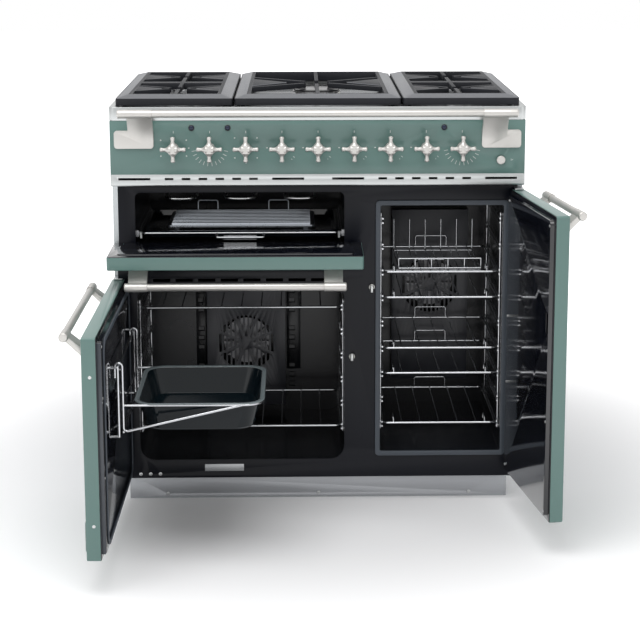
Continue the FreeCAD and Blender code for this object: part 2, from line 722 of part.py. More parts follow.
def plate_rack(z):
    """Upright plate rack that stands on the top shelf of the tall oven."""
    x = grown((TALL_MIDDLE, TALL_MIDDLE), (TALL_RIGHT - TALL_LEFT) * PLATE_RACK_SHARE)
    base = z + 2 * SHELF_BAR + GAP
    front = base + PLATE_RACK_FRONT
    back = base + PLATE_RACK_BACK
    start = SHELF_START + 2 * SHELF_BEND
    y = (start, start + PLATE_RACK_DEPTH)
    pieces = []
    for py, pz in ((y[0], base), (y[0], front), (y[1], base)):
        pieces.append(rod(V(x[0], py, pz), V(x[1], py, pz), SHELF_BAR))
    for i in range(PLATE_RACK_HOOPS):
        at = x[0] + (x[1] - x[0]) * i / (PLATE_RACK_HOOPS - 1)
        hoop = [V(at, y[0], front), V(at, y[0], base), V(at, y[1], base), V(at, y[1], back)]
        pieces.append(bent_rod(hoop, SHELF_BAR, SHELF_BEND / 2))
    return fused(pieces)


def gasket(x, z, corner):
    """Grey band round an oven's mouth, on the face of the frame."""
    y = (LINER_FACE + GAP, FRAME_Y)
    outer_corner = corner + GASKET_WIDTH / 2
    outer = rounded(grown(x, GASKET_WIDTH), y, grown(z, GASKET_WIDTH), V(0, 1, 0), outer_corner)
    inner = rounded(x, grown(y, SEAM), z, V(0, 1, 0), corner)
    return outer.cut(inner)


# ---- control panel, vent strip and hob tray -----------------------------------------------
def front_tray(side, z, cuts):
    """Shallow folded tray, open to the back, between the front plane and the front frame."""
    x = (-side, side)
    tray = block(x, (FRONT, FRAME_Y), z)
    tray = tray.cut(block(grown(x, -ENAMEL), (FRONT + ENAMEL, FRAME_Y + SEAM), grown(z, -ENAMEL)))
    return tray.cut(cuts)


def panel_hole(x, z, radius):
    return Part.makeCylinder(radius, 3 * ENAMEL, V(x, FRONT - ENAMEL, z), V(0, 1, 0))


def control_panel():
    """Painted fascia with its spindle, lens and button holes."""
    holes = [panel_hole(x, KNOB_Z, SPINDLE + SPINDLE_CLEAR) for x in KNOB_XS]
    holes += [panel_hole(x, LENS_Z, LENS_RADIUS - SEAM) for x in LENS_X]
    holes.append(panel_hole(BUTTON_X, BUTTON_Z, BUTTON_STEM + GAP))
    return front_tray(HALF - DOOR_SIDE, (STRIP_TOP, PANEL_TOP), holes)


def vent_strip():
    """Bright strip under the fascia with its row of vent slots and a rounded lower lip."""
    middle = STRIP_TOP - VENT_DROP
    z = grown((middle, middle), VENT_HEIGHT / 2)
    y = (FRONT - ENAMEL, FRONT + 2 * ENAMEL)
    slots = []
    for side in (-1, 1):
        for centre in (VENT_MIDDLE_X, VENT_SIDE_X):
            slots.append(block(grown((side * centre,) * 2, VENT_LONG / 2), y, z))
        for i in range(VENT_SHORT_COUNT):
            centre = side * (VENT_MIDDLE_X + VENT_STEP + i * VENT_SHORT_PITCH)
            slots.append(block(grown((centre, centre), VENT_SHORT / 2), y, z))
    side = HALF - SEAM
    z_strip = (STRIP_FOOT, STRIP_TOP)
    outer = block((-side, side), (FRONT, FRAME_Y), z_strip)
    lip = [e for e in edges_along(outer, V(1, 0, 0)) if e.CenterOfMass.y < FRONT + SEAM
           and e.CenterOfMass.z < STRIP_FOOT + SEAM]
    outer = outer.makeFillet(STRIP_LIP, lip)
    x_in = (-side + ENAMEL, side - ENAMEL)
    inner = block(x_in, (FRONT + ENAMEL, FRAME_Y + SEAM), grown(z_strip, -ENAMEL))
    inner_lip = [e for e in edges_along(inner, V(1, 0, 0)) if e.CenterOfMass.y < FRONT + 2 * ENAMEL
                 and e.CenterOfMass.z < STRIP_FOOT + 2 * ENAMEL]
    inner = inner.makeFillet(STRIP_LIP - ENAMEL, inner_lip)
    return outer.cut([inner] + slots)


def burner_places():
    """Place and head radius of each burner."""
    middle = (FRONT + BACK) / 2
    return [
        (-SIDE_BURNER_X, BURNER_FRONT_Y, BURNER_MEDIUM),
        (-SIDE_BURNER_X, BURNER_REAR_Y, BURNER_SMALL),
        (0.0, middle, BURNER_LARGE),
        (SIDE_BURNER_X, BURNER_REAR_Y, BURNER_MEDIUM),
        (SIDE_BURNER_X, BURNER_FRONT_Y, BURNER_SMALL),
    ]


def hob_tray():
    """Pressed steel hob top: a rounded skirt, a rim and a sunk well with the burner holes."""
    x = (-HALF, HALF)
    y = (FRONT, BACK)
    up = V(0, 0, 1)
    outer = rounded(x, y, (HOB_FOOT, HOB_TOP), up, HOB_CORNER)
    below_z = (HOB_FOOT - SEAM, WELL_TOP - ENAMEL)
    below = rounded(grown(x, -ENAMEL), grown(y, -ENAMEL), below_z, up, HOB_CORNER - ENAMEL)
    well = rounded(grown(x, -HOB_RIM), grown(y, -HOB_RIM), (WELL_TOP, HOB_TOP + SEAM), up, HOB_CORNER)
    holes = [
        Part.makeCylinder(BURNER_THROAT + SEAM / 2, 3 * ENAMEL, V(bx, by, WELL_TOP - 2 * ENAMEL))
        for bx, by, _ in burner_places()
    ]
    return outer.cut([below, well] + holes)


def burner_head(x, y, radius):
    """Aluminium burner head: a foot, a ported ring and a throat through the hob."""
    z = WELL_TOP
    foot = Part.makeCylinder(radius + BURNER_FOOT, BURNER_FOOT, V(x, y, z))
    ring_height = BURNER_HEIGHT - BURNER_FOOT
    ring = Part.makeCone(radius * BURNER_TAPER, radius, ring_height, V(x, y, z + BURNER_FOOT))
    throat = Part.makeCylinder(BURNER_THROAT, BURNER_CUP, V(x, y, z - BURNER_CUP))
    return fused([foot, ring, throat])


def burner_cap(x, y, radius):
    """Enamelled cap with a bevelled edge."""
    z = WELL_TOP + BURNER_HEIGHT
    half = BURNER_CAP / 2
    lower = Part.makeCylinder(radius * CAP_SHARE, half, V(x, y, z))
    upper = Part.makeCone(radius * CAP_SHARE, radius * BURNER_TAPER, half, V(x, y, z + half))
    return fused([lower, upper])


def rectangle(x, y, z):
    """Closed outline at one height."""
    corners = [V(x[0], y[0], z), V(x[1], y[0], z), V(x[1], y[1], z), V(x[0], y[1], z)]
    return Part.makePolygon(corners + corners[:1])


def finger(start, tip):
    """Flat cast finger between two points at the top of a pan support."""
    run = tip.sub(start)
    low = SUPPORT_TOP - SUPPORT_FINGER_HEIGHT
    bar = Part.makeBox(run.Length, SUPPORT_FINGER, SUPPORT_FINGER_HEIGHT, V(0, -SUPPORT_FINGER / 2, 0))
    bar.rotate(V(0, 0, 0), V(0, 0, 1), math.degrees(math.atan2(run.y, run.x)))
    bar.translate(V(start.x, start.y, low))
    return bar


def pan_support(x, bars, burners):
    """Cast pan support: a bevelled border, cross bars and fingers that point at each burner."""
    y = (FRONT + SUPPORT_INSET, BACK - SUPPORT_INSET)
    up = V(0, 0, 1)
    shoulder = SUPPORT_TOP - SUPPORT_STEP
    skirt = rounded(x, y, (shoulder - SUPPORT_FRAME, shoulder), up, SUPPORT_CORNER)
    bevel = SUPPORT_BAND - SUPPORT_FINGER
    low = rectangle(grown(x, -SUPPORT_CORNER / 3), grown(y, -SUPPORT_CORNER / 3), shoulder)
    high = rectangle(grown(x, -bevel), grown(y, -bevel), SUPPORT_TOP)
    crown = Part.makeLoft([low, high], True, True)
    inside_x = grown(x, -SUPPORT_BAND)
    inside_y = grown(y, -SUPPORT_BAND)
    hole = block(inside_x, inside_y, (WELL_TOP, SUPPORT_TOP + SEAM))
    pieces = [skirt.fuse(crown).cut(hole)]
    bar_z = (SUPPORT_TOP - SUPPORT_FRAME, SUPPORT_TOP)
    for bar_y in bars:
        pieces.append(block(grown(inside_x, SEAM), grown((bar_y, bar_y), SUPPORT_BAND / 2), bar_z))
    for cx, cy, radius in burners:
        limits_y = list(inside_y) + bars
        near = max(v for v in limits_y if v < cy)
        far = min(v for v in limits_y if v > cy)
        reach = radius * FINGER_REACH
        ends = [(cx, near), (cx, far)]
        for side in inside_x:
            for end in (near, far):
                ends.append((side, cy + (end - cy) * FINGER_SPREAD))
        for ex, ey in ends:
            away = V(ex - cx, ey - cy, 0)
            tip = V(cx, cy, 0).add(V(away).normalize().multiply(reach))
            start = V(cx, cy, 0).add(V(away).multiply(1 + 2 * SEAM / away.Length))
            pieces.append(finger(start, tip))
    foot_z = (WELL_TOP, shoulder - SUPPORT_FRAME + SEAM)
    for fx in (x[0] + SUPPORT_BAND / 2, x[1] - SUPPORT_BAND / 2):
        for fy in (y[0] + SUPPORT_BAND, y[1] - SUPPORT_BAND):
            foot = grown((fx, fx), SUPPORT_FINGER / 2)
            pieces.append(block(foot, grown((fy, fy), SUPPORT_FINGER / 2), foot_z))
    return fused(pieces)


# ---- knobs, lenses and light button -------------------------------------------------------
def knob(x):
    """Cross-head knob: a skirt, a neck, a round boss and four arms with rounded ends."""
    axis = V(0, -1, 0)
    foot = V(x, FRONT - SEAM, KNOB_Z)
    skirt = Part.makeCylinder(KNOB_SKIRT, KNOB_SKIRT_LENGTH, foot, axis)
    neck = Part.makeCylinder(KNOB_NECK, KNOB_ARM_OUT, foot, axis)
    boss_start = FRONT - KNOB_ARM_OUT + KNOB_HUB / 2
    boss = rod(V(x, boss_start, KNOB_Z), V(x, FRONT - KNOB_LENGTH, KNOB_Z), KNOB_HUB)
    rim = [e for e in boss.Edges if e.CenterOfMass.y < boss_start - SEAM and e.Closed]
    boss = boss.makeFillet(KNOB_EDGE, rim[:1])
    pieces = [skirt, neck, boss]
    middle = V(x, FRONT - KNOB_ARM_OUT - KNOB_BALL / 2, KNOB_Z)
    reach = KNOB_REACH - KNOB_BALL
    for arm in (V(reach, 0, 0), V(0, 0, reach), V(-reach, 0, 0), V(0, 0, -reach)):
        pieces.append(rod(middle, middle + arm, KNOB_ARM))
        pieces.append(ball(middle + arm, KNOB_BALL))
    bore = Part.makeCylinder(SPINDLE + SPINDLE_FIT, SPINDLE_OUT + SEAM, V(x, FRONT, KNOB_Z), axis)
    return fused(pieces).cut(bore)


def tap_body(x, deep):
    """Valve or switch body behind the panel, with the spindle that carries a knob."""
    body_y = (FRONT + ENAMEL, FRONT + ENAMEL + deep)
    body = block(grown((x, x), TAP_BODY / 2), body_y, grown((KNOB_Z, KNOB_Z), TAP_BODY / 2))
    spindle = rod(V(x, FRONT + 2 * ENAMEL, KNOB_Z), V(x, FRONT - SPINDLE_OUT, KNOB_Z), SPINDLE)
    return fused([body, spindle])


def indicator_lens(x):
    """Domed indicator lens with a stem in the panel."""
    y = FRONT
    axis = V(0, -1, 0)
    lip = Part.makeCylinder(LENS_RADIUS, SEAM, V(x, y, LENS_Z), axis)
    dome = Part.makeCone(LENS_RADIUS, LENS_TIP, 2 * SEAM, V(x, y - SEAM, LENS_Z), axis)
    stem = Part.makeCylinder(LENS_RADIUS - SEAM - GAP, 4 * SEAM, V(x, y + 4 * SEAM, LENS_Z), axis)
    return fused([lip, dome, stem])


def light_button():
    """Push button with a domed cap and a stem through the panel."""
    base = FRONT - BUTTON_TRAVEL - GAP
    tip = base - BUTTON_OUT + BUTTON_TRAVEL
    cap = rod(V(BUTTON_X, base, BUTTON_Z), V(BUTTON_X, tip, BUTTON_Z), BUTTON_RADIUS)
    rim = [e for e in cap.Edges if e.Closed and e.CenterOfMass.y < base - SEAM]
    cap = cap.makeFillet(2 * SEAM, rim[:1])
    stem = rod(V(BUTTON_X, FRONT + 4 * ENAMEL, BUTTON_Z), V(BUTTON_X, base - SEAM, BUTTON_Z), BUTTON_STEM)
    return fused([cap, stem])


def light_switch():
    """Switch body behind the fascia, bored for the button's stem."""
    side = TAP_BODY / 2 - SEAM
    y = (FRONT + ENAMEL, FRONT + ENAMEL + TAP_BODY / 2)
    body = block(grown((BUTTON_X, BUTTON_X), side), y, grown((BUTTON_Z, BUTTON_Z), side))
    bore = rod(V(BUTTON_X, FRONT, BUTTON_Z), V(BUTTON_X, y[1] - ENAMEL, BUTTON_Z), BUTTON_STEM + GAP)
    return body.cut(bore)


# ---- handrail and door handles ------------------------------------------------------------
def bracket(end, side, length, foot, face_y, out, bar_z):
    """Handle bracket: a foot on the panel, a slanted neck and a sleeve with a blind socket."""
    near, neck, foot_width, foot_z = foot
    neck_x = tuple(sorted((near, near + side * neck)))
    foot_x = tuple(sorted((near + side * (neck - foot_width), near + side * neck)))
    plate = rounded(foot_x, (face_y - BRACKET_THICK, face_y), foot_z, V(0, 1, 0), BRACKET_CORNER)
    bar_y = face_y - out
    knee = foot_z[1] - BRACKET_CORNER
    outline = [
        V(neck_x[0], face_y, knee),
        V(neck_x[0], face_y - BRACKET_THICK, knee - BRACKET_THICK),
        V(neck_x[0], bar_y, bar_z - BRACKET_THICK),
        V(neck_x[0], bar_y, bar_z + BRACKET_THICK),
        V(neck_x[0], face_y, foot_z[1]),
    ]
    arm = Part.Face(Part.makePolygon(outline + outline[:1])).extrude(V(neck, 0, 0))
    mouth = end + side * length
    sleeve = rod(V(end, bar_y, bar_z), V(mouth, bar_y, bar_z), SLEEVE_RADIUS)
    cap = [e for e in sleeve.Edges if e.Closed and abs(e.CenterOfMass.x - end) < SEAM]
    sleeve = sleeve.makeFillet(SLEEVE_EDGE, cap[:1])
    start = V(mouth + side * SEAM, bar_y, bar_z)
    finish = V(mouth - side * length * SLEEVE_SOCKET, bar_y, bar_z)
    return fused([plate, arm, sleeve]).cut(rod(start, finish, BAR_RADIUS + SLEEVE_FIT))


def bar_handle(x, face_y, out, bar_z, foot_z, neck, foot_width, overhang):
    """Bar with a bracket at each end, as three solids."""
    length = neck + overhang
    solids = []
    ends = []
    for side, end in ((1, x[0]), (-1, x[1])):
        foot = (end + side * overhang, neck, foot_width, foot_z)
        solids.append(bracket(end, side, length, foot, face_y, out, bar_z))
        ends.append(V(end + side * length * 0.5, face_y - out, bar_z))
    solids.append(rod(ends[0], ends[1], BAR_RADIUS))
    return solids


def handrail():
    x = (-HALF + RAIL_END_INSET, HALF - RAIL_END_INSET)
    return bar_handle(x, FRONT, RAIL_OUT, RAIL_Z, RAIL_FOOT_Z, RAIL_BRACKET, RAIL_FOOT_WIDTH, RAIL_OVERHANG)


def door_handle(x, top):
    bar_z = top - HANDLE_DROP
    foot_z = (bar_z - HANDLE_FOOT[0], bar_z - HANDLE_FOOT[1])
    spread = grown(x, -HANDLE_MARGIN)
    face_y = FRONT + DOOR_IN
    width = HANDLE_BRACKET
    return bar_handle(spread, face_y, HANDLE_OUT, bar_z, foot_z, width, width, HANDLE_OVERHANG)


# ---- doors --------------------------------------------------------------------------------
def door_shell(x, z, pins, toe_rib):
    """Painted door tray, open to the back, with rounded front edges and its pin holes."""
    y = (FRONT + DOOR_IN, LINER_Y)
    outer = rounded(x, y, z, V(0, 1, 0), DOOR_CORNER)
    rim = [e for e in outer.Edges if e.CenterOfMass.y < y[0] + SEAM / 2]
    outer = outer.makeFillet(DOOR_EDGE, rim)
    inner_y = (y[0] + DOOR_SKIN, y[1] + SEAM)
    inner_corner = DOOR_CORNER - DOOR_SKIN
    inner = rounded(grown(x, -DOOR_SKIN), inner_y, grown(z, -DOOR_SKIN), V(0, 1, 0), inner_corner)
    shell = outer.cut(inner)
    if toe_rib:
        rib_y = (y[0] - TOE_RIB_OUT, y[0] + SEAM)
        rib_z = (TOE_RIB_FOOT, TOE_RIB_TOP)
        shell = fused([shell, rounded(grown(x, -TOE_RIB_INSET), rib_y, rib_z, V(0, 1, 0), DOOR_CORNER)])
    return shell.cut(pins) if pins else shell


def door_liner(x, z, inset, deep, pockets):
    """Black inner door: a flange over the tray's mouth and a raised hollow panel."""
    y = LINER_Y
    axis = V(0, 1, 0)
    flange = rounded(grown(x, -SEAM), (y, y + ENAMEL), grown(z, -SEAM), axis, DOOR_CORNER)
    raised = rounded(grown(x, -inset), (y, y + deep), grown(z, -inset), axis, 2 * DOOR_CORNER)
    whole = fused([flange, raised])
    hollow_x = grown(x, -inset - ENAMEL)
    hollow = rounded(hollow_x, (y - SEAM, y + deep - ENAMEL), grown(z, -inset - ENAMEL), axis, DOOR_CORNER)
    return whole.cut([hollow] + pockets)


def pin_holes(side, z):
    """Holes at the foot and the top of a door for its two hinge pins."""
    reach = 3 * DOOR_SKIN
    holes = []
    for level in z:
        start = V(side * PIN_X, PIN_Y, level - reach)
        holes.append(Part.makeCylinder(PIN_RADIUS + PIN_CLEAR, 2 * reach, start))
    return holes


def catch_places():
    """Where the roller catches of the main and the tall door sit on the frame."""
    main = (MAIN_X[1] - CATCH_INSET, (MAIN_Z[0] + MAIN_Z[1]) / 2 + MAIN_CATCH_UP)
    tall = (TALL_X[0] + CATCH_INSET, (TALL_Z[0] + TALL_Z[1]) / 2 + TALL_CATCH_UP)
    return [main, tall]


def catch_pocket(place):
    """Recess in a door liner that closes over a roller catch."""
    x, z = place
    y = (LINER_Y + ENAMEL, FRAME_Y)
    return block(grown((x, x), CATCH_POCKET), y, grown((z, z), CATCH_HEIGHT / 2 + CATCH_OUT))


def roller_catch(place):
    """Sprung roller between two cheeks, on a small plate on the face of the frame."""
    x, z = place
    width = grown((x, x), CATCH_HALF)
    tip_y = FRAME_Y - CATCH_OUT
    plate = block(width, (FRAME_Y - ENAMEL, FRAME_Y), grown((z, z), CATCH_HEIGHT / 2))
    pieces = [plate]
    for level in (z - ROLLER_LENGTH / 2, z + ROLLER_LENGTH / 2):
        pieces.append(block(width, (tip_y, FRAME_Y), grown((level, level), CATCH_CHEEK / 2)))
    half = V(0, 0, ROLLER_LENGTH / 2)
    middle = V(x, tip_y + SEAM, z)
    pieces.append(rod(middle - half, middle + half, ROLLER_RADIUS))
    return fused(pieces)


def door_hinge(side, z, upward):
    """Bracket on the frame with the upright pin that a side door turns on."""
    x = tuple(sorted((side * (PIN_X - BRACKET_WIDTH / 2), side * (HALF - SEAM))))
    if upward:
        plate_z = (z - SEAM - BRACKET_PLATE, z - SEAM)
        tab_z = (plate_z[0] - 3 * BRACKET_PLATE, plate_z[1])
        start = plate_z[0]
    else:
        plate_z = (z + SEAM, z + SEAM + BRACKET_PLATE)
        tab_z = plate_z
        start = z - PIN_REACH
    plate = block(x, (PIN_Y - 2 * PIN_RADIUS, FRAME_Y), plate_z)
    tab = block(x, (FRAME_Y - BRACKET_PLATE, FRAME_Y), tab_z)
    reach = BRACKET_PLATE + SEAM + PIN_REACH
    pin = Part.makeCylinder(PIN_RADIUS, reach, V(side * PIN_X, PIN_Y, start))
    return fused([plate, tab, pin])


def grill_arm_places():
    return (MAIN_X[0] + GRILL_ARM_INSET, MAIN_X[1] - GRILL_ARM_INSET)


def grill_slot(x):
    """Slot through the grill door's lower edge and liner that the fixed hinge arm swings in."""
    y = (FRONT + DOOR_IN + DOOR_SKIN, FRAME_Y)
    z = (GRILL_Z[0] - SEAM, GRILL_PIN_Z + 3 * BRACKET_PLATE)
    return block(grown((x, x), BRACKET_PLATE / 2 + SEAM), y, z)


def grill_hinge(x):
    """Arm from the frame with the level pin that the grill door turns on."""
    z = grown((GRILL_PIN_Z, GRILL_PIN_Z), GRILL_ARM_HALF)
    arm_x = grown((x, x), BRACKET_PLATE / 2)
    arm = block(arm_x, (GRILL_PIN_Y - GRILL_PIN_RADIUS / 2, FRAME_Y), z)
    tab = block(arm_x, (FRAME_Y - BRACKET_PLATE, FRAME_Y), grown(z, 2 * BRACKET_PLATE))
    reach = V(BRACKET_PLATE / 2 + SEAM + GRILL_LUG, 0, 0)
    middle = V(x, GRILL_PIN_Y, GRILL_PIN_Z)
    return fused([arm, tab, rod(middle - reach, middle + reach, GRILL_PIN_RADIUS)])


def grill_lugs():
    """Bored lugs inside the grill door, either side of each hinge arm."""
    lugs = []
    for x in grill_arm_places():
        for side in (-1, 1):
            near = x + side * (BRACKET_PLATE / 2 + SEAM)
            lug_x = tuple(sorted((near, near + side * GRILL_LUG)))
            lug_y = (FRONT + DOOR_IN + SEAM, GRILL_PIN_Y + GRILL_LUG_SIDE / 2)
            lugs.append(block(lug_x, lug_y, grown((GRILL_PIN_Z, GRILL_PIN_Z), GRILL_LUG_SIDE / 2)))
    return lugs


def grill_pin_bores():
    reach = V(BRACKET_PLATE + GRILL_LUG + SEAM, 0, 0)
    bores = []
    for x in grill_arm_places():
        middle = V(x, GRILL_PIN_Y, GRILL_PIN_Z)
        bores.append(rod(middle - reach, middle + reach, GRILL_PIN_RADIUS + PIN_CLEAR))
    return bores


def grill_door_shell():
    shell = door_shell(MAIN_X, GRILL_Z, [], False)
    whole = fused([shell] + grill_lugs())
    return whole.cut([grill_slot(x) for x in grill_arm_places()] + grill_pin_bores())


def main_door_gasket():
    """Grey seal on the main door's liner, round the oven's mouth."""
    x = grown((OVEN_LEFT, OVEN_RIGHT), SEAM)
    z = grown((MAIN_FLOOR, MAIN_ROOF), SEAM)
    top = min(z[1] + SEAL_WIDTH, MAIN_Z[1] - LINER_INSET - SEAM)
    y = (LINER_FACE, FRAME_Y - GAP)
    outer = rounded(grown(x, SEAL_WIDTH), y, (z[0] - SEAL_WIDTH, top), V(0, 1, 0), MAIN_CORNER)
    inner_corner = MAIN_CORNER - SEAL_WIDTH / 2
    inner = rounded(x, grown(y, SEAM), (z[0], top - SEAL_WIDTH), V(0, 1, 0), inner_corner)
    return outer.cut(inner)


# ---- grill compartment --------------------------------------------------------------------
def grill_runner(wall, side):
    """Fixed channel on the grill compartment's wall."""
    x = tuple(sorted((wall, wall + side * RUNNER_THICK)))
    y = (CARRIER_START, CARRIER_START + RUNNER_LENGTH)
    return block(x, y, grown((RUNNER_Z, RUNNER_Z), RUNNER_HEIGHT / 2))


def slide_inner(wall, side):
    """Face of a slide, towards the middle of the compartment."""
    return wall + side * (RUNNER_THICK + GAP + SLIDE_THICK)


def grill_carrier():
    """Wire frame on two slides, with a drop handle and its grip plate at the front."""
    y = (CARRIER_START, CARRIER_START + CARRIER_DEPTH)
    near, far = y[0] + CARRIER_ROD, y[1] - CARRIER_ROD
    z = RUNNER_Z
    pieces = []
    for wall, side in ((OVEN_LEFT, 1), (OVEN_RIGHT, -1)):
        inner = slide_inner(wall, side)
        x = tuple(sorted((wall + side * (RUNNER_THICK + GAP), inner)))
        pieces.append(block(x, y, grown((z, z), SLIDE_HEIGHT / 2)))
        edge = inner + side * CARRIER_ROD / 2
        half = [V(OVEN_MIDDLE, near, z), V(edge, near, z), V(edge, far, z), V(OVEN_MIDDLE, far, z)]
        pieces.append(bent_rod(half, CARRIER_ROD, 4 * CARRIER_ROD))
    left, right = grown((OVEN_MIDDLE, OVEN_MIDDLE), DROP_HANDLE / 2)
    low = z - DROP_HANDLE_FALL
    out = FRAME_Y + CARRIER_ROD
    handle = [V(left, near, z), V(left, out, low), V(right, out, low), V(right, near, z)]
    pieces.append(bent_rod(handle, DROP_HANDLE_ROD, 2 * DROP_HANDLE_ROD))
    grip_x = grown((OVEN_MIDDLE, OVEN_MIDDLE), GRIP_LENGTH / 2)
    pieces.append(block(grip_x, grown((out, out), SEAM), grown((low, low), GRIP_HALF_HEIGHT)))
    return fused(pieces)


def grill_pan():
    """Shallow enamelled pan whose rim rests on the carrier's rods."""
    clear = CARRIER_ROD + PAN_CLEAR
    x = (slide_inner(OVEN_LEFT, 1) + clear, slide_inner(OVEN_RIGHT, -1) - clear)
    start = CARRIER_START + 2 * CARRIER_ROD + PAN_CLEAR
    y = (start, start + PAN_DEPTH)
    top = RUNNER_Z + CARRIER_ROD + GAP
    up = V(0, 0, 1)
    body = rounded(x, y, (PAN_FLOOR, top), up, PAN_CORNER)
    over = 2 * CARRIER_ROD
    rim = rounded(grown(x, over), grown(y, over), (top, top + PAN_SHEET), up, PAN_CORNER + over)
    inside_z = (PAN_FLOOR + PAN_SHEET, top + 2 * PAN_SHEET)
    inside_corner = PAN_CORNER - PAN_SHEET
    inside = rounded(grown(x, -PAN_SHEET), grown(y, -PAN_SHEET), inside_z, up, inside_corner)
    return fused([body, rim]).cut(inside)


def grill_trivet():
    """Ribbed griddle plate on four feet in the pan, with two wire lifting loops behind."""
    middle_y = CARRIER_START + 2 * CARRIER_ROD + PAN_CLEAR + PAN_DEPTH / 2
    x = grown((OVEN_MIDDLE, OVEN_MIDDLE), TRIVET_LENGTH / 2)
    y = grown((middle_y, middle_y), TRIVET_DEPTH / 2)
    floor = RUNNER_Z + CARRIER_ROD
    pieces = [rounded(x, y, (floor, floor + TRIVET_SLAB), V(0, 0, 1), 2 * TRIVET_SLAB)]
    pitch = (y[1] - y[0]) / TRIVET_RIBS
    rib_z = (floor + TRIVET_SLAB / 2, floor + TRIVET_SLAB + TRIVET_RIB_HEIGHT)
    for i in range(TRIVET_RIBS):
        at = y[0] + pitch * (i + 0.5)
        pieces.append(block(grown(x, -2 * TRIVET_SLAB), grown((at, at), pitch / 4), rib_z))
    foot_z = (PAN_FLOOR + PAN_SHEET, floor + SEAM)
    for fx in grown(x, -4 * TRIVET_SLAB):
        for fy in grown(y, -4 * TRIVET_SLAB):
            foot_x = grown((fx, fx), TRIVET_SLAB)
            pieces.append(block(foot_x, grown((fy, fy), TRIVET_SLAB), foot_z))
    back = y[1] - 2 * TRIVET_SLAB
    base = floor + TRIVET_SLAB / 2
    for centre in grown((OVEN_MIDDLE, OVEN_MIDDLE), TRIVET_LENGTH / 4):
        pieces.append(upright_loop(centre, TRIVET_LOOP, back, base, TRIVET_LOOP_RISE, SHELF_BAR))
    return fused(pieces)


def grill_element_ends():
    """Places of the element's two ends, in the roof of the grill compartment."""
    z = GRILL_ROOF - GRILL_ELEMENT_DROP
    return [(OVEN_MIDDLE + side * GRILL_ELEMENT_HALF, z) for side in (-1, 1)]


def grill_element():
    """Serpentine radiant element under the roof of the grill compartment."""
    (left, z), (right, _) = grill_element_ends()
    y = (FRAME_Y + 2 * GRILL_ELEMENT_DROP, OVEN_BACK - 4 * GRILL_ELEMENT_DROP)
    pitch = (right - left) / (GRILL_ELEMENT_RODS - 1)
    out = OVEN_BACK + ENAMEL + ELEMENT_TAIL
    points = [V(left, out, z), V(left, y[0], z)]
    for i in range(1, GRILL_ELEMENT_RODS - 1):
        at = left + i * pitch
        ends = [V(at, y[0], z), V(at, y[1], z)]
        points += ends if i % 2 == 1 else ends[::-1]
    points += [V(right, y[0], z), V(right, out, z)]
    return bent_rod(points, ELEMENT_RADIUS, pitch * GRILL_ELEMENT_BEND)


# ---- wire rack, roasting carrier and tin on the main door (placed with the door closed) ---
def along(distance):
    """X at a distance along the closed main door from its hinge pin."""
    return -PIN_X + distance


def door_rack():
    """Wire ladder on the inside of the main door that the roasting carrier hooks on."""
    x = [along(distance) for distance in LADDER_X]
    y = LINER_FACE + LADDER_OUT
    low, high = LADDER_RUNG_Z
    pieces = [rod(V(x[0], y, level), V(x[1], y, level), CARRIER_WIRE) for level in (low, high)]
    for at in x:
        pieces.append(rod(V(at, y, low), V(at, y, high), CARRIER_WIRE))
        for level in (low, high):
            pieces.append(rod(V(at, LINER_FACE, level), V(at, y, level), CARRIER_WIRE))
            pieces.append(ball(V(at, y, level), CARRIER_WIRE))
    return fused(pieces)


def tin_span():
    """Top of the roasting tin, along the door and away from it."""
    start = LINER_FACE + TIN_START
    return (along(TIN_X[0]), along(TIN_X[1])), (start, start + TIN_WIDTH)


def roasting_carrier():
    """Wire cradle: two hooks over the door rack, side frames with braces and a rim loop."""
    x, y = tin_span()
    out = CARRIER_BRACE + SEAM + GAP
    left, right = grown(x, out)
    far = y[1] + out
    front, leg = grown((LINER_FACE + LADDER_OUT, LINER_FACE + LADDER_OUT), HOOK_WIDTH / 2)
    top = LADDER_RUNG_Z[1] + 2 * CARRIER_WIRE + GAP
    low = LADDER_RUNG_Z[0] + 2 * CARRIER_WIRE
    z = TIN_FLOOR + TIN_HEIGHT - TIN_SHEET - GAP - CARRIER_BRACE
    pieces = []
    for at in (left, right):
        hook = [V(at, front, top - 2 * HOOK_WIDTH), V(at, front, top), V(at, leg, top),
                V(at, leg, low), V(at, far - TIN_CORNER, z)]
        pieces.append(bent_rod(hook, CARRIER_WIRE, HOOK_WIDTH / 2 - SEAM / 10))
    loop = [V(left, leg, z), V(left, far, z), V(right, far, z), V(right, leg, z)]
    pieces.append(bent_rod(loop, CARRIER_BRACE, TIN_CORNER - 2 * CARRIER_WIRE))
    for level in (z, low):
        pieces.append(rod(V(left, leg, level), V(right, leg, level), CARRIER_BRACE))
    return fused(pieces)


def rounded_outline(x, y, z, radius):
    """Round-cornered outline at one height."""
    slab = rounded(x, y, (z, z + SEAM), V(0, 0, 1), radius)
    lowest = min(slab.Faces, key=lambda face: face.CenterOfMass.z)
    return lowest.OuterWire


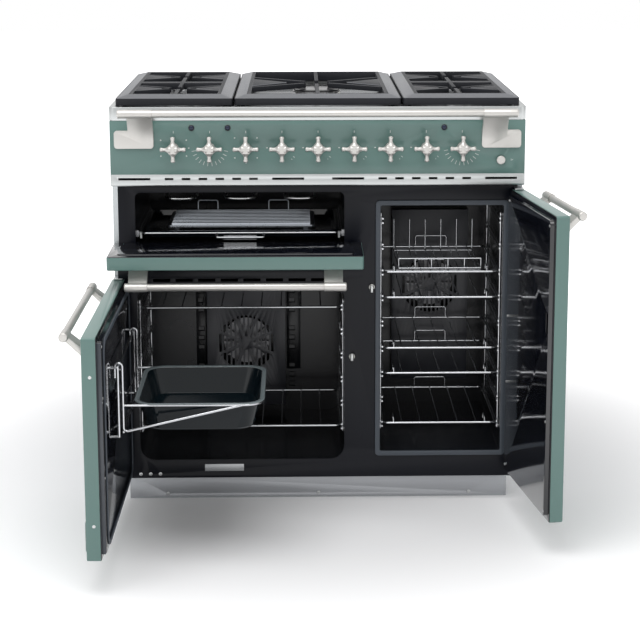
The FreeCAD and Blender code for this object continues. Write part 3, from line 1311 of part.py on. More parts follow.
def roasting_tin():
    """Deep enamelled tin with leaning walls, a rim on the carrier's loop and a ribbed floor."""
    x, y = tin_span()
    foot_x, foot_y = grown(x, -TIN_TAPER), grown(y, -TIN_TAPER)
    top = TIN_FLOOR + TIN_HEIGHT
    floor = TIN_FLOOR + TIN_SHEET
    corner = TIN_CORNER - TIN_TAPER / 2
    outer = Part.makeLoft([rounded_outline(foot_x, foot_y, TIN_FLOOR, corner),
                           rounded_outline(x, y, top, TIN_CORNER)], True, True)
    rim_z = (top - TIN_SHEET, top)
    rim = rounded(grown(x, TIN_RIM), grown(y, TIN_RIM), rim_z, V(0, 0, 1), TIN_CORNER + TIN_RIM)
    hollow_x, hollow_y = grown(foot_x, -TIN_SHEET), grown(foot_y, -TIN_SHEET)
    flare = TIN_TAPER / TIN_HEIGHT * SEAM - TIN_SHEET
    inner_top = rounded_outline(grown(x, flare), grown(y, flare), top + SEAM, TIN_CORNER - TIN_SHEET)
    inner_foot = rounded_outline(hollow_x, hollow_y, floor, corner - TIN_SHEET)
    inner = Part.makeLoft([inner_foot, inner_top], True, True)
    ribs = []
    run = (hollow_y[1] - hollow_y[0]) / TIN_RIBS
    rib_z = (floor - TIN_SHEET / 2, floor + 2 * TIN_SHEET)
    for i in range(1, TIN_RIBS):
        at = hollow_y[0] + i * run
        ribs.append(block(grown(hollow_x, -TIN_CORNER), grown((at, at), run / 5), rib_z))
    return fused([fused([outer, rim]).cut(inner)] + ribs)


# ---- gas rail, switches and mains ---------------------------------------------------------
GAS_TAP_XS = KNOB_XS[FIRST_TAP:LAST_TAP + 1]
SWITCH_XS = KNOB_XS[:FIRST_TAP] + KNOB_XS[LAST_TAP + 1:]


def gas_rail():
    """Gas rail behind the taps, and the pipe back to the inlet socket on the rear."""
    start = V(GAS_TAP_XS[0] - TAP_BODY, GAS_RAIL_Y, KNOB_Z)
    corner = V(GAS_INLET_X, GAS_RAIL_Y, KNOB_Z)
    end = V(GAS_INLET_X, BACK, KNOB_Z)
    mouth = V(GAS_INLET_X, BACK + GAS_INLET_LENGTH, KNOB_Z)
    pipe = bent_rod([start, corner, end], GAS_RAIL_RADIUS, 2 * GAS_RAIL_RADIUS)
    socket = rod(end, mouth, GAS_SOCKET_RADIUS)
    thread = rod(mouth - V(0, GAS_THREAD_DEPTH, 0), mouth, GAS_THREAD_RADIUS)
    return fused([pipe, socket]).cut(thread)


def mains_box():
    """Mains terminal box on the rear sheet, with the gland that takes the supply cable."""
    x = grown((TERMINAL_X, TERMINAL_X), TERMINAL_WIDTH / 2)
    z = (TERMINAL_Z, TERMINAL_Z + TERMINAL_HEIGHT)
    y = (BACK, BACK + TERMINAL_DEPTH)
    outer = rounded(x, y, z, V(0, 1, 0), 2 * TERMINAL_WALL)
    inner = block(grown(x, -TERMINAL_WALL), grown(y, -ENAMEL), grown(z, -TERMINAL_WALL))
    foot = V(TERMINAL_X, (y[0] + y[1]) / 2, TERMINAL_Z - GLAND_LENGTH)
    gland = Part.makeCylinder(GLAND_RADIUS, GLAND_LENGTH, foot)
    bore = Part.makeCylinder(GLAND_BORE, GLAND_LENGTH + 2 * TERMINAL_WALL, foot)
    return fused([outer, gland]).cut([inner, bore])


def pan_head_screw(place):
    """Round-headed screw with its shank through the sheet behind."""
    head = Part.makeCylinder(SCREW_HEAD, SCREW_HEAD_HEIGHT, place, V(0, -1, 0))
    shank = Part.makeCylinder(SCREW_SHANK, SCREW_LENGTH, place + V(0, SCREW_LENGTH, 0), V(0, -1, 0))
    return fused([head, shank])


# ---- all nodes ----------------------------------------------------------------------------
def export_cabinet():
    export("base_frame", [base_frame()])
    export("levelling_feet", levelling_feet())
    export("plinth", [plinth()])
    export("cabinet_panels", [side_panel(-1), side_panel(1), back_panel()])
    export("front_frame", [front_frame()])
    export("control_panel", [control_panel()])
    export("vent_strip", [vent_strip()])
    export("hob_tray", [hob_tray()])
    export("indicator_lenses", [indicator_lens(x) for x in LENS_X])
    export("mains_box", [mains_box()])
    export("handrail", handrail())


def oven_holes(x, z):
    """Holes in an oven's back wall for the fan's shaft and the ring element's ends."""
    holes = [back_hole(x, z, SPINDLE + SPINDLE_CLEAR)]
    for leg in (-ELEMENT_LEG, ELEMENT_LEG):
        holes.append(back_hole(x + leg, z + RING_ELEMENT, ELEMENT_RADIUS + GAP))
    return holes


def export_ovens():
    main_x = (OVEN_LEFT, OVEN_RIGHT)
    tall_x = (TALL_LEFT, TALL_RIGHT)
    main_z = (MAIN_FLOOR, MAIN_ROOF)
    tall_z = (TALL_FLOOR, TALL_ROOF)
    main_fan = (OVEN_MIDDLE, FAN_Z_MAIN)
    tall_fan = (TALL_MIDDLE, FAN_Z_TALL)
    grill_holes = [back_hole(x, z, ELEMENT_RADIUS + GAP) for x, z in grill_element_ends()]
    export("main_oven_cavity", [cavity(main_x, main_z, MAIN_CORNER, oven_holes(*main_fan))])
    export("grill_cavity", [cavity(main_x, (GRILL_FLOOR, GRILL_ROOF), GRILL_CORNER, grill_holes)])
    export("tall_oven_cavity", [cavity(tall_x, tall_z, TALL_CORNER, oven_holes(*tall_fan))])
    export("tall_oven_gasket", [gasket(tall_x, tall_z, TALL_CORNER)])
    covers = [fan_cover(*main_fan, sum(main_z) / 2, COVER_MAIN),
              fan_cover(*tall_fan, sum(tall_z) / 2, COVER_TALL)]
    export("fan_covers", covers)
    export("main_oven_fan", [fan(*main_fan)])
    export("tall_oven_fan", [fan(*tall_fan)])
    heaters = [make(*place) for make in (fan_motor, ring_element) for place in (main_fan, tall_fan)]
    export("oven_motors_and_elements", heaters + [grill_element()])
    racks = [grill_runner(OVEN_LEFT, 1), grill_runner(OVEN_RIGHT, -1)]
    for wall, side in ((OVEN_LEFT, 1), (OVEN_RIGHT, -1)):
        racks.append(rack(wall, side, MAIN_RUNG_LOW, MAIN_RUNG_PITCH, MAIN_RUNG_COUNT))
    for wall, side in ((TALL_LEFT, 1), (TALL_RIGHT, -1)):
        racks.append(rack(wall, side, TALL_RUNG_LOW, TALL_RUNG_PITCH, TALL_RUNG_COUNT))
    export("side_racks_and_runners", racks)
    for name, step in zip(("main_shelf_lower", "main_shelf_upper"), MAIN_SHELF_RUNGS):
        z = rung_seat(MAIN_RUNG_LOW, MAIN_RUNG_PITCH, step)
        export(name, [shelf(main_x, z, MAIN_SHELF_BARS, False)])
    for i, step in enumerate(TALL_SHELF_RUNGS):
        z = rung_seat(TALL_RUNG_LOW, TALL_RUNG_PITCH, step)
        solids = [shelf(tall_x, z, TALL_SHELF_BARS, True)]
        if step == TALL_SHELF_RUNGS[-1]:
            solids.append(plate_rack(z))
        export("tall_shelf_" + str(i + 1), solids)


def export_hob():
    places = burner_places()
    export("burner_heads", [burner_head(*place) for place in places])
    export("burner_caps", [burner_cap(*place) for place in places])
    inner = (SUPPORT_CENTRE - SUPPORT_SEAM) / 2
    outer = (SUPPORT_CENTRE + SUPPORT_SEAM) / 2
    edge = HALF - SUPPORT_INSET
    middle = [(FRONT + BACK) / 2]
    export("pan_support_left", [pan_support((-edge, -outer), middle, places[:2])])
    export("pan_support_centre", [pan_support((-inner, inner), [], places[2:3])])
    export("pan_support_right", [pan_support((outer, edge), middle, places[3:])])


def export_controls():
    for i, x in enumerate(KNOB_XS):
        export("knob_" + str(i + 1), [knob(x)])
    gas_tap = GAS_RAIL_Y - GAS_RAIL_RADIUS - GAP - FRONT - ENAMEL
    taps = [tap_body(x, gas_tap) for x in GAS_TAP_XS] + [tap_body(x, TAP_LENGTH) for x in SWITCH_XS]
    export("gas_rail_and_taps", [gas_rail(), light_switch()] + taps)
    export("light_button", [light_button()])


def export_doors():
    catches = catch_places()
    main_shell = door_shell(MAIN_X, MAIN_Z, pin_holes(-1, MAIN_Z), True)
    main_liner = door_liner(MAIN_X, MAIN_Z, LINER_INSET, DOOR_LINER, [catch_pocket(catches[0])])
    export("main_door_shell", [open_main(main_shell)])
    export("main_door_liner", [open_main(main_liner)])
    export("main_door_gasket", [open_main(main_door_gasket())])
    export("main_door_handle", [open_main(solid) for solid in door_handle(MAIN_X, MAIN_Z[1])])
    export("main_door_rack", [open_main(door_rack())])
    export("roasting_carrier", [open_main(roasting_carrier())])
    export("roasting_tin", [open_main(roasting_tin())])
    tall_shell = door_shell(TALL_X, TALL_Z, pin_holes(1, TALL_Z), True)
    tall_liner = door_liner(TALL_X, TALL_Z, LINER_INSET, DOOR_LINER, [catch_pocket(catches[1])])
    export("tall_door_shell", [open_tall(tall_shell)])
    export("tall_door_liner", [open_tall(tall_liner)])
    export("tall_door_handle", [open_tall(solid) for solid in door_handle(TALL_X, TALL_Z[1])])
    slots = [grill_slot(x) for x in grill_arm_places()]
    grill_liner = door_liner(MAIN_X, GRILL_Z, GRILL_LINER_INSET, GRILL_LINER, slots)
    export("grill_door_shell", [open_grill(grill_door_shell())])
    export("grill_door_liner", [open_grill(grill_liner)])
    export("grill_door_handle", [open_grill(solid) for solid in door_handle(MAIN_X, GRILL_Z[1])])
    hardware = [door_hinge(-1, MAIN_Z[0], True), door_hinge(-1, MAIN_Z[1], False),
                door_hinge(1, TALL_Z[0], True), door_hinge(1, TALL_Z[1], False)]
    hardware += [grill_hinge(x) for x in grill_arm_places()]
    hardware += [roller_catch(place) for place in catches]
    hardware += [pan_head_screw(place - V(0, SHEET, 0)) for place in plinth_screw_places()]
    hardware += [pan_head_screw(place) for place in frame_screw_places()]
    export("hinges_catches_and_screws", hardware)


def export_grill():
    export("grill_carrier", [grill_carrier()])
    export("grill_pan", [grill_pan()])
    export("grill_trivet", [grill_trivet()])


os.makedirs("parts", exist_ok=True)
export_cabinet()
export_ovens()
export_hob()
export_controls()
export_doors()
export_grill()
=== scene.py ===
import json
import math

import bmesh
import bpy
from mathutils import Matrix, Vector

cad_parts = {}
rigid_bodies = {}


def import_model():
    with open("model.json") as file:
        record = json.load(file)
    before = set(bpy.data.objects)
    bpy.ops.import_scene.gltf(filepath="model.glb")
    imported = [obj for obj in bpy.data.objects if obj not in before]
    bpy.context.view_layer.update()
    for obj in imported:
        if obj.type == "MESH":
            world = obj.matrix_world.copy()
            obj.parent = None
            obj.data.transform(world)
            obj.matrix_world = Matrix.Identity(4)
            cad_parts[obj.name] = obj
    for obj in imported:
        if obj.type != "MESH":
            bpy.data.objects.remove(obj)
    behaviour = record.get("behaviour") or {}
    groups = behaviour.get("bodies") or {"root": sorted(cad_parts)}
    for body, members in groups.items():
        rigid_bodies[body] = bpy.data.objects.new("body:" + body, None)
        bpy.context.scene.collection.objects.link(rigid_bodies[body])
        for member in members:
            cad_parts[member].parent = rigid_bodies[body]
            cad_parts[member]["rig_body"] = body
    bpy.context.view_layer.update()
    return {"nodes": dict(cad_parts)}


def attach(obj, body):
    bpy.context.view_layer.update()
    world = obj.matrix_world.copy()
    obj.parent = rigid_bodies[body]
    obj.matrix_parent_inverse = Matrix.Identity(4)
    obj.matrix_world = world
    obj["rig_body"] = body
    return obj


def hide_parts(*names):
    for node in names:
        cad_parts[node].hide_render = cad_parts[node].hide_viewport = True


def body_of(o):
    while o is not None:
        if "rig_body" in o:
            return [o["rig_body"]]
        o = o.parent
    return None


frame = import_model()
nodes = frame["nodes"]
bpy.ops.object.select_all(action="DESELECT")

# ---- studio -------------------------------------------------------------------------------
# A white sweep: a pale floor under a white surround, one wide soft box above the front and a
# weak one on either side. The camera stands in front, a little to the left, and looks down.
CAMERA_PLACE = (-0.0408, -4.0837, 1.3302)
CAMERA_PITCH = math.radians(11.245)
CAMERA_YAW = math.radians(1.404)
CAMERA_LENS = 99.25
CAMERA_SHIFT = (-0.0346, -0.10)
SURROUND_SOFT, SURROUND_SEEN = 0.5, 1.0
FLOOR_SIZE = 30
FLOOR_WHITE = (0.92, 0.92, 0.93)
FLOOR_GLOW_NEAR, FLOOR_GLOW_FAR = 0.06, 1.0
SHADOW_REACH, WHITE_REACH = 0.5, 1.9

camera_data = bpy.data.cameras.new("camera")
camera_data.sensor_width = 36.0
camera_data.lens = CAMERA_LENS
camera_data.shift_x, camera_data.shift_y = CAMERA_SHIFT
camera_data.dof.use_dof = False
camera = bpy.data.objects.new("camera", camera_data)
camera.location = CAMERA_PLACE
camera.rotation_euler = (math.pi / 2 - CAMERA_PITCH, 0, -CAMERA_YAW)
bpy.context.collection.objects.link(camera)
bpy.context.scene.camera = camera
bpy.context.scene.view_settings.view_transform = "Standard"


def soft_box(name, place, aim, size, watts):
    """Rectangular soft box that faces a point."""
    data = bpy.data.lights.new(name, "AREA")
    data.shape = "RECTANGLE"
    data.size, data.size_y = size
    data.energy = watts
    lamp = bpy.data.objects.new(name, data)
    lamp.location = place
    lamp.rotation_euler = (Vector(aim) - Vector(place)).to_track_quat("-Z", "Y").to_euler()
    bpy.context.collection.objects.link(lamp)


soft_box("box_above", (-0.5, -1.6, 3.6), (0, -0.2, 0.4), (3.0, 2.2), 74)
soft_box("box_front_left", (-2.6, -3.2, 1.9), (0, 0, 0.4), (1.6, 2.2), 8)
soft_box("box_front_right", (2.8, -2.8, 1.5), (0, 0, 0.4), (1.4, 2.0), 7)


def feed(tree, entry, value):
    """Link an output to a node's entry, or set the entry to a plain value."""
    if isinstance(value, bpy.types.NodeSocket):
        tree.links.new(value, entry)
    else:
        entry.default_value = value


def calc(tree, operation, *values, kind="Math"):
    """Math node over outputs and numbers; gives its first output."""
    made = tree.nodes.new("ShaderNode" + kind)
    made.operation = operation
    for entry, value in zip(made.inputs, values):
        feed(tree, entry, value)
    return made.outputs[0]


def ranged(tree, value, to_span, from_span=(0, 1), shape="LINEAR"):
    """Map a value from one span to another."""
    made = tree.nodes.new("ShaderNodeMapRange")
    made.interpolation_type = shape
    feed(tree, made.inputs["Value"], value)
    for way, span in (("From", from_span), ("To", to_span)):
        for end, number in zip((" Min", " Max"), span):
            made.inputs[way + end].default_value = number
    return made.outputs["Result"]


def seen_directly(tree):
    """Mask: one for the camera, for reflections and through glass, nothing for soft light."""
    ways = tree.nodes.new("ShaderNodeLightPath").outputs
    mask = calc(tree, "MAXIMUM", ways["Is Camera Ray"], ways["Is Glossy Ray"])
    return calc(tree, "MAXIMUM", mask, ways["Is Transmission Ray"])


def new_material(name):
    """New material with its node tree and its Principled shader."""
    material = bpy.data.materials.new(name)
    material.use_nodes = True
    return material, material.node_tree, material.node_tree.nodes["Principled BSDF"]


world = bpy.data.worlds.new("surround")
bpy.context.scene.world = world
world.use_nodes = True
tree = world.node_tree
sky = tree.nodes["Background"]
sky.inputs["Color"].default_value = (1, 1, 1, 1)
level = ranged(tree, seen_directly(tree), (SURROUND_SOFT, SURROUND_SEEN))
tree.links.new(level, sky.inputs["Strength"])

bpy.ops.mesh.primitive_plane_add(size=FLOOR_SIZE, location=(0, 0, 0))
floor = bpy.context.object
floor.name = "floor"
floor_paint, tree, shader = new_material("studio_floor")
shader.inputs["Base Color"].default_value = (*FLOOR_WHITE, 1)
shader.inputs["Roughness"].default_value = 0.9
shader.inputs["Specular IOR Level"].default_value = 0.1
shader.inputs["Emission Color"].default_value = (1, 1, 1, 1)
reach = tree.nodes.new("ShaderNodeVectorMath")
reach.operation = "LENGTH"
tree.links.new(tree.nodes.new("ShaderNodeTexCoord").outputs["Object"], reach.inputs[0])
glow = ranged(tree, reach.outputs["Value"], (FLOOR_GLOW_NEAR, FLOOR_GLOW_FAR),
              (SHADOW_REACH, WHITE_REACH), "SMOOTHSTEP")
tree.links.new(calc(tree, "MULTIPLY", glow, seen_directly(tree)),
               shader.inputs["Emission Strength"])
floor.data.materials.append(floor_paint)

# ---- base frame, feet and plinth ----------------------------------------------------------
# A folded tray of galvanised steel on four screw feet, with a kick strip of stainless sheet
# screwed to its front. The strip's grain runs from side to side.


def socket(tree, kind, name, way="INPUT", value=None):
    """Give a group an entry or an output, with what an entry holds when nothing feeds it."""
    made = tree.interface.new_socket(name=name, in_out=way, socket_type="NodeSocket" + kind)
    if value is not None:
        made.default_value = value


def new_group(name, entries):
    """Group with these entries that gives out a colour, a roughness and a height."""
    tree = bpy.data.node_groups.new(name, "ShaderNodeTree")
    for kind, entry, value in entries:
        socket(tree, kind, entry, value=value)
    for kind, output in (("Color", "Color"), ("Float", "Roughness"), ("Float", "Height")):
        socket(tree, kind, output, "OUTPUT")
    given = tree.nodes.new("NodeGroupInput").outputs
    out = tree.nodes.new("NodeGroupOutput").inputs
    return tree, given, out, tree.nodes.new("ShaderNodeTexCoord").outputs["Object"]


def noise(tree, place, scale, **settings):
    """Grey noise over a place; its other entries are given by name."""
    made = tree.nodes.new("ShaderNodeTexNoise")
    for name, value in {"Vector": place, "Scale": scale, **settings}.items():
        feed(tree, made.inputs[name], value)
    return made.outputs["Fac"]


def toned(tree, colour, drift, depth):
    """Colour made lighter and darker by a drift round nothing, as far as a depth says."""
    made = tree.nodes.new("ShaderNodeVectorMath")
    made.operation = "SCALE"
    tree.links.new(colour, made.inputs[0])
    tree.links.new(calc(tree, "MULTIPLY_ADD", drift, depth, 1.0), made.inputs["Scale"])
    return made.outputs[0]


def build_grain():
    """Group: fine scratches, long where the stretch is small, over a slow cloud."""
    tree, given, out, place = new_group("drawn_grain", (
        ("Vector", "Stretch", (1, 1, 1)), ("Float", "Roughness", 0.3), ("Float", "Depth", 0.1),
        ("Color", "Color", (0.5, 0.5, 0.5, 1))))
    along = calc(tree, "MULTIPLY", place, given["Stretch"], kind="VectorMath")
    scratches = noise(tree, along, 1.0, Detail=6, Roughness=0.7)
    cloud = noise(tree, place, 7.0)
    drift = calc(tree, "SUBTRACT", calc(tree, "ADD", scratches, cloud), 1.0)
    rough = calc(tree, "MULTIPLY_ADD", drift, given["Depth"], given["Roughness"])
    tree.links.new(toned(tree, given["Color"], drift, given["Depth"]), out["Color"])
    tree.links.new(rough, out["Roughness"])
    tree.links.new(scratches, out["Height"])
    return tree


drawn_grain = build_grain()


def grouped(name, group_tree, values, strength, distance):
    """Material whose colour, roughness and bump come from a group with these values."""
    material, tree, shader = new_material(name)
    group = tree.nodes.new("ShaderNodeGroup")
    group.node_tree = group_tree
    for entry, value in values.items():
        group.inputs[entry].default_value = value
    bump = tree.nodes.new("ShaderNodeBump")
    bump.inputs["Strength"].default_value = strength
    bump.inputs["Distance"].default_value = distance
    tree.links.new(group.outputs["Color"], shader.inputs["Base Color"])
    tree.links.new(group.outputs["Roughness"], shader.inputs["Roughness"])
    tree.links.new(group.outputs["Height"], bump.inputs["Height"])
    tree.links.new(bump.outputs["Normal"], shader.inputs["Normal"])
    return material, shader


def drawn(name, colour, roughness, stretch, depth=0.15, strength=0.05, metallic=1.0):
    """Metal with a grain that runs along the axis of its smallest stretch."""
    values = {"Stretch": stretch, "Roughness": roughness, "Depth": depth, "Color": (*colour, 1)}
    material, shader = grouped(name, drawn_grain, values, strength, 0.0005)
    shader.inputs["Metallic"].default_value = metallic
    return material


ACROSS = (6, 900, 900)
zinc = drawn("galvanised_sheet", (0.47, 0.495, 0.505), 0.42, (40, 40, 40), depth=0.3)
plinth_steel = drawn("plinth_steel", (0.42, 0.43, 0.45), 0.5, ACROSS, depth=0.25)
bright = drawn("bright_zinc", (0.52, 0.53, 0.53), 0.3, (80, 80, 80))


def clad(material, *names):
    """Give CAD nodes a material."""
    for name in names:
        mesh = nodes[name].data
        if not mesh.materials:
            mesh.materials.append(material)
        for i in range(len(mesh.materials)):
            mesh.materials[i] = material


def choose(*pieces):
    """Select these pieces and no other, with the first as the active one."""
    bpy.ops.object.select_all(action="DESELECT")
    for piece in pieces:
        piece.select_set(True)
    bpy.context.view_layer.objects.active = pieces[0]


def bevelled(piece, width, segments, sharp):
    """Round over the edges of a piece that turn by more than a sharp angle in degrees."""
    choose(piece)
    made = piece.modifiers.new("bevel", "BEVEL")
    made.width = width
    made.segments = segments
    made.limit_method = "ANGLE"
    made.angle_limit = math.radians(sharp)
    bpy.ops.object.modifier_apply(modifier=made.name)


def finish(piece, name, material, body, slot, *replaced, angle=35):
    """Name a piece, give it its finish and body, and show it in the place of CAD nodes."""
    piece.name = name
    piece.data.name = name
    piece.data.materials.clear()
    piece.data.materials.append(material)
    choose(piece)
    bpy.ops.object.shade_smooth_by_angle(angle=math.radians(angle))
    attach(piece, body)
    if replaced:
        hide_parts(*replaced)


SEAM_GAP = 0.000002
FLAT_ANGLE = math.radians(0.4)


def eased(node, name, material, slot, width=0.0005, segments=2):
    """Copy of a CAD piece with its seams merged and its sharp edges rounded over."""
    piece = bpy.data.objects.new(name, nodes[node].data.copy())
    bpy.context.collection.objects.link(piece)
    choose(piece)
    bpy.ops.object.mode_set(mode="EDIT")
    bpy.ops.mesh.select_all(action="SELECT")
    bpy.ops.mesh.remove_doubles(threshold=SEAM_GAP)
    bpy.ops.mesh.dissolve_limited(angle_limit=FLAT_ANGLE)
    bpy.ops.object.mode_set(mode="OBJECT")
    bevelled(piece, width, segments, sharp=50)
    finish(piece, name, material, body_of(nodes[node])[0], slot, node)
    return piece


clad(zinc, "base_frame")
clad(bright, "levelling_feet")
eased("plinth", "plinth_strip", plinth_steel, "brushed_steel")

# ---- side sheets and back -----------------------------------------------------------------
# Folded galvanised sheet, bare, with louvre slots in the back for the ovens' warm air. The
# terminal box on it is moulded in black plastic.


def build_mottle():
    """Group: a colour and a roughness that drift over the surface, and a fine ripple."""
    tree, given, out, place = new_group("coat_mottle", (
        ("Color", "Color", (0.5, 0.5, 0.5, 1)), ("Float", "Drift", 0.05),
        ("Float", "Roughness", 0.3), ("Float", "Roughness Drift", 0.05),
        ("Float", "Ripple Scale", 300.0)))
    wide = noise(tree, place, 5.0, Detail=4)
    drift = calc(tree, "SUBTRACT", wide, 0.5)
    rough = calc(tree, "MULTIPLY_ADD", drift, given["Roughness Drift"], given["Roughness"])
    ripple = noise(tree, place, given["Ripple Scale"], Detail=2)
    tree.links.new(toned(tree, given["Color"], drift, given["Drift"]), out["Color"])
    tree.links.new(rough, out["Roughness"])
    tree.links.new(ripple, out["Height"])
    return tree


mottle = build_mottle()


def coated(name, colour, roughness, drift, ripple=(300, 0.04), coat=0.0, specular=0.5):
    """Paint, enamel, iron or rubber: a drifting colour over a skin with fine ripples.

    The ripple is given as its scale and its strength.
    """
    values = {"Color": (*colour, 1), "Drift": drift, "Roughness": roughness,
              "Roughness Drift": roughness * 0.4, "Ripple Scale": ripple[0]}
    material, shader = grouped(name, mottle, values, ripple[1], 0.001)
    shader.inputs["Coat Weight"].default_value = coat
    shader.inputs["Coat Roughness"].default_value = 0.08
    shader.inputs["Specular IOR Level"].default_value = specular
    return material


clad(zinc, "cabinet_panels")
moulded = coated("moulded_plastic", (0.02, 0.02, 0.02), 0.45, drift=0.2, ripple=(900, 0.2))
clad(moulded, "mains_box")

# ---- front frame --------------------------------------------------------------------------
# Pressed steel in vitreous enamel, a blue-black glass skin fired on. It carries the doors, the
# gaskets and the rail between the grill and the wide oven.
frame_enamel = coated("front_enamel", (0.0030, 0.0038, 0.0075), 0.3, drift=0.5,
                      ripple=(160, 0.03), specular=0.2)
eased("front_frame", "front_frame_enamelled", frame_enamel, "black_enamel")

# ---- oven liners and fan covers -----------------------------------------------------------
# Three enamelled steel boxes, open to the front. Behind a pressed cover on each back wall turns
# a fan, which draws through a pierced star. Beside the wide oven's cover the back wall has two
# rows of hooded louvres, and a smooth band behind each row.
oven_enamel = coated("oven_enamel", (0.0065, 0.0075, 0.010), 0.22, drift=0.6,
                     ripple=(220, 0.05), specular=0.3)
cover_enamel = coated("cover_enamel", (0.034, 0.036, 0.045), 0.34, drift=0.3,
                      ripple=(260, 0.04), specular=0.4)
fan_steel = drawn("fan_steel", (0.24, 0.24, 0.25), 0.45, (80, 80, 80))
clad(oven_enamel, "main_oven_cavity", "grill_cavity", "tall_oven_cavity")
clad(bright, "oven_motors_and_elements")
clad(fan_steel, "main_oven_fan", "tall_oven_fan")
eased("fan_covers", "fan_cover_pressings", cover_enamel, "black_enamel", width=0.0008)

LOUVRE_SIZE = (0.016, 0.003, 0.011)
LOUVRE_RIM = 0.0012
LOUVRE_HOOD = (0, -0.0025, 0.002)
LOUVRE_XS = (-0.283, -0.061)
LOUVRE_Y = 0.1445
LOUVRE_LOW, LOUVRE_PITCH, LOUVRE_ROWS = 0.168, 0.0235, 11
BAND_XS = ((-0.2955, -0.2680), (-0.0740, -0.0400))


def begin(kind, **options):
    """Add a primitive with nothing else selected, and settle it in place."""
    bpy.ops.object.select_all(action="DESELECT")
    getattr(bpy.ops.mesh, "primitive_" + kind + "_add")(**options)
    piece = bpy.context.object
    bpy.ops.object.transform_apply(location=True, rotation=True, scale=True)
    return piece


def pick(piece, test):
    """Open a piece for editing with the faces selected that pass a test of middle and normal."""
    bpy.ops.object.mode_set(mode="EDIT")
    bpy.ops.mesh.select_mode(type="FACE")
    bpy.ops.mesh.select_all(action="DESELECT")
    mesh = bmesh.from_edit_mesh(piece.data)
    for face in mesh.faces:
        face.select_set(bool(test(face.calc_center_median(), face.normal)))
    bmesh.update_edit_mesh(piece.data)


def joined(pieces):
    """Join pieces into the first of them."""
    choose(*pieces)
    bpy.ops.object.join()
    return pieces[0]


def slat(x, y, z):
    """Flat bar between pairs of coordinates, with its edges eased."""
    middle = [sum(span) / 2 for span in (x, y, z)]
    size = [span[1] - span[0] for span in (x, y, z)]
    piece = begin("cube", size=1, location=middle, scale=size)
    pick(piece, lambda at, normal: True)
    bpy.ops.mesh.bevel(offset=0.0004, segments=2, affect="EDGES")
    bpy.ops.object.mode_set(mode="OBJECT")
    return piece


def louvre(x, z):
    """Louvre pressed out of the wall: a bar whose lower edge is drawn back to the sheet."""
    piece = begin("cube", size=1, location=(x, LOUVRE_Y, z), scale=LOUVRE_SIZE)
    pick(piece, lambda at, normal: normal.y < -0.9)
    bpy.ops.mesh.inset(thickness=LOUVRE_RIM, depth=0)
    bpy.ops.transform.translate(value=LOUVRE_HOOD)
    bpy.ops.object.mode_set(mode="OBJECT")
    return piece


# Every fourth place in a row is left plain.
louvres = [louvre(x, LOUVRE_LOW + LOUVRE_PITCH * i)
           for x in LOUVRE_XS for i in range(LOUVRE_ROWS) if i % 4 != 3]
finish(joined(louvres), "main_oven_louvres", oven_enamel, "cabinet", "black_enamel")
bands = [slat(x, (0.1440, 0.1462), (0.206, 0.400)) for x in BAND_XS]
finish(joined(bands), "main_oven_vent_bands", oven_enamel, "cabinet", "black_enamel")

# ---- racks, shelves and their runners -----------------------------------------------------
# Chromed steel wire, spot-welded where wires cross. The ladders hang on the ovens' side walls,
# and each shelf rests on a pair of their rungs.
chrome = drawn("chrome_wire", (0.50, 0.51, 0.53), 0.2, (60, 60, 60), strength=0.02)
clad(chrome, "side_racks_and_runners", "main_shelf_lower", "main_shelf_upper",
     *["tall_shelf_" + str(i + 1) for i in range(5)])

# ---- gaskets ------------------------------------------------------------------------------
# Grey silicone bands with rounded edges, moulded in one piece: one round the tall oven's mouth,
# and one round the liner of the main door.
seal = coated("seal", (0.055, 0.066, 0.082), 0.5, drift=0.3, ripple=(500, 0.2))
eased("tall_oven_gasket", "tall_oven_seal_band", seal, "seal", width=0.0025, segments=3)
eased("main_door_gasket", "main_door_seal_band", seal, "seal", width=0.002, segments=3)

# ---- grill pan, trivet and carrier --------------------------------------------------------
# An enamelled pan hangs in a chromed wire carrier, with a sprung clip of coiled wire at each
# front corner. On it lies a ribbed trivet of cast metal, pale and worn bright along its ribs.
pan_enamel = coated("pan_enamel", (0.007, 0.010, 0.015), 0.14, drift=0.5, ripple=(120, 0.04),
                    coat=0.25)
trivet_metal = drawn("trivet_metal", (0.42, 0.45, 0.49), 0.34, (90, 90, 90), depth=0.3,
                     strength=0.06)
eased("grill_pan", "grill_pan_pressed", pan_enamel, "black_enamel", width=0.0009)
eased("grill_trivet", "grill_trivet_cast", trivet_metal, "cast_iron", width=0.0008)
clad(chrome, "grill_carrier")

UP, FRONT, BACK = (0, 0, 1), (0, -1, 0), (0, 1, 0)
CLIP_TURNS = 8
CLIP_COIL = [(0.0008, 0.0024), *[(0.0009, radius) for radius in (0.0034, 0.0026) * CLIP_TURNS],
             (0.0006, 0.0012)]


def turned(start, axis, steps, sides):
    """Turned piece: a disc whose end is drawn out through pairs of advance and radius."""
    axis = Vector(axis).normalized()
    depth, radius = steps[0]
    piece = begin("cylinder", vertices=sides, radius=radius, depth=depth,
                  location=Vector(start) + axis * depth / 2,
                  rotation=axis.to_track_quat("Z", "Y").to_euler())
    tip = Vector(start) + axis * depth
    pick(piece, lambda at, normal: normal.dot(axis) > 0.99)
    for advance, wide in steps[1:]:
        tip = tip + axis * advance
        bpy.ops.mesh.extrude_region_move(TRANSFORM_OT_translate={"value": axis * advance})
        bpy.ops.transform.resize(value=[wide / radius] * 3, center_override=tip)
        radius = wide
    bpy.ops.object.mode_set(mode="OBJECT")
    return piece


clips = [turned((x, -0.2460, 0.6085), UP, CLIP_COIL, sides=16) for x in (-0.3905, 0.0465)]
finish(joined(clips), "carrier_clips", bright, "grill_carrier", "chrome_wire")

